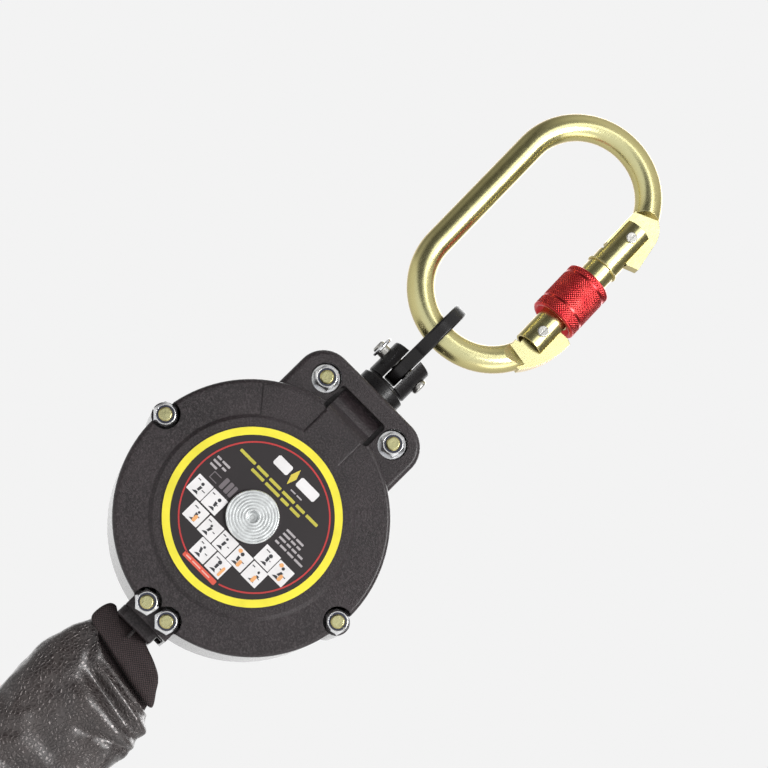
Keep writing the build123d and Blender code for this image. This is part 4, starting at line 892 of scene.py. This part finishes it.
def pale_material():
    """Even pale floor that also lifts the shadows under the object."""
    material, tree, shader = new_material("pale_floor")
    put(tree, shader.inputs["Base Color"], (0.22, 0.22, 0.22))
    put(tree, shader.inputs["Roughness"], 0.8)
    put(tree, shader.inputs["Specular IOR Level"], 0.1)
    put(tree, shader.inputs["Emission Color"], (1.0, 1.0, 1.0))
    put(tree, shader.inputs["Emission Strength"], 0.66)
    return material


FLOOR_DROP = 2.1  # clears the line at its full length
floor = plane("floor", 40.0, (0, 0, cad_box[0][2] - FLOOR_DROP))
floor.data.materials.append(pale_material())


def area_light(name, place, target, size, power):
    data = bpy.data.lights.new(name, "AREA")
    data.shape = "RECTANGLE"
    data.size, data.size_y = size
    data.energy = power
    light = bpy.data.objects.new(name, data)
    bpy.context.collection.objects.link(light)
    light.location = place
    light.rotation_euler = (Vector(target) - Vector(place)).to_track_quat("-Z", "Y").to_euler()
    return light


def world_light():
    """Plain pale background for the camera; a dark room, lit in front and behind, for other rays."""
    world = bpy.data.worlds.new("studio")
    bpy.context.scene.world = world
    world.use_nodes = True
    tree = world.node_tree
    tree.nodes.clear()
    out = node(tree, "OutputWorld")
    seen = node(tree, "Background", {"Color": (0.896, 0.896, 0.896), "Strength": 1.0})
    direction = node(tree, "TexCoord").outputs["Generated"]
    split = node(tree, "SeparateXYZ", {0: direction})
    across = maths(tree, "ADD", maths(tree, "MULTIPLY", split.outputs["X"], 0.5), 0.5)
    front = ramp(tree, across, [(0.0, (0.30,)), (0.10, (0.05,)), (0.42, (0.07,)), (0.485, (0.54,)),
                                (0.57, (0.60,)), (0.66, (0.12,)), (0.90, (0.05,)), (1.0, (0.12,))])
    depth = ramped(tree, split.outputs["Y"], 0.05, 0.4)
    back = ramp(tree, split.outputs["Y"], [(0.0, (0.16,)), (0.55, (0.20,)), (0.88, (0.85,)),
                                           (1.0, (1.0,))])
    round_room = mix(tree, depth, front, back)
    ceiling = ramped(tree, split.outputs["Z"], 0.55, 0.9)
    tone = mix(tree, ceiling, round_room, (0.5, 0.5, 0.5))
    room = node(tree, "Background", {"Color": tone, "Strength": 1.45})
    is_camera = node(tree, "LightPath").outputs["Is Camera Ray"]
    chosen = node(tree, "MixShader", {0: is_camera, 1: room.outputs[0], 2: seen.outputs[0]})
    tree.links.new(chosen.outputs[0], out.inputs[0])


def studio_camera():
    """Close view, a little from below, with the object's +Z rolled to the upper right of the frame."""
    elevation = math.radians(-9.0)
    roll = math.radians(44.7)
    distance = 1.3
    target = Vector((-0.0007, 0.0, 0.0694))
    forward = Vector((0, math.cos(elevation), -math.sin(elevation)))
    up = Vector((0, math.sin(elevation), math.cos(elevation)))
    side = Vector((1, 0, 0))
    right = math.cos(roll) * up + math.sin(roll) * side
    top = math.sin(roll) * up - math.cos(roll) * side
    data = bpy.data.cameras.new("camera")
    data.lens = 171.9
    data.sensor_width = 36.0
    camera = bpy.data.objects.new("camera", data)
    bpy.context.collection.objects.link(camera)
    turn = Matrix((right, top, -forward)).transposed().to_4x4()
    camera.matrix_world = Matrix.Translation(target - forward * distance) @ turn
    bpy.context.scene.camera = camera


world_light()
area_light("key", (0.78, -1.1, 0.55), (0, 0, 0.0), (0.5, 0.8), 17.0)
area_light("upper", (0.15, -0.95, 0.80), (0, 0, -0.08), (0.45, 0.2), 0.7)
area_light("right_fill", (1.2, -0.5, -0.3), (0, 0, 0.0), (0.5, 1.0), 3.0)
area_light("back", (0.2, 1.0, 0.7), (0, 0, 0.05), (1.2, 0.8), 6.0)
glow = area_light("leather_glow", (0.22, -1.0, 0.60), (0, 0, -0.09), (0.6, 0.45), 6.5)
only_leather = bpy.data.collections.new("only_leather")
only_leather.objects.link(leather)
glow.light_linking.receiver_collection = only_leather
studio_camera()
bpy.context.scene.view_settings.view_transform = "Standard"
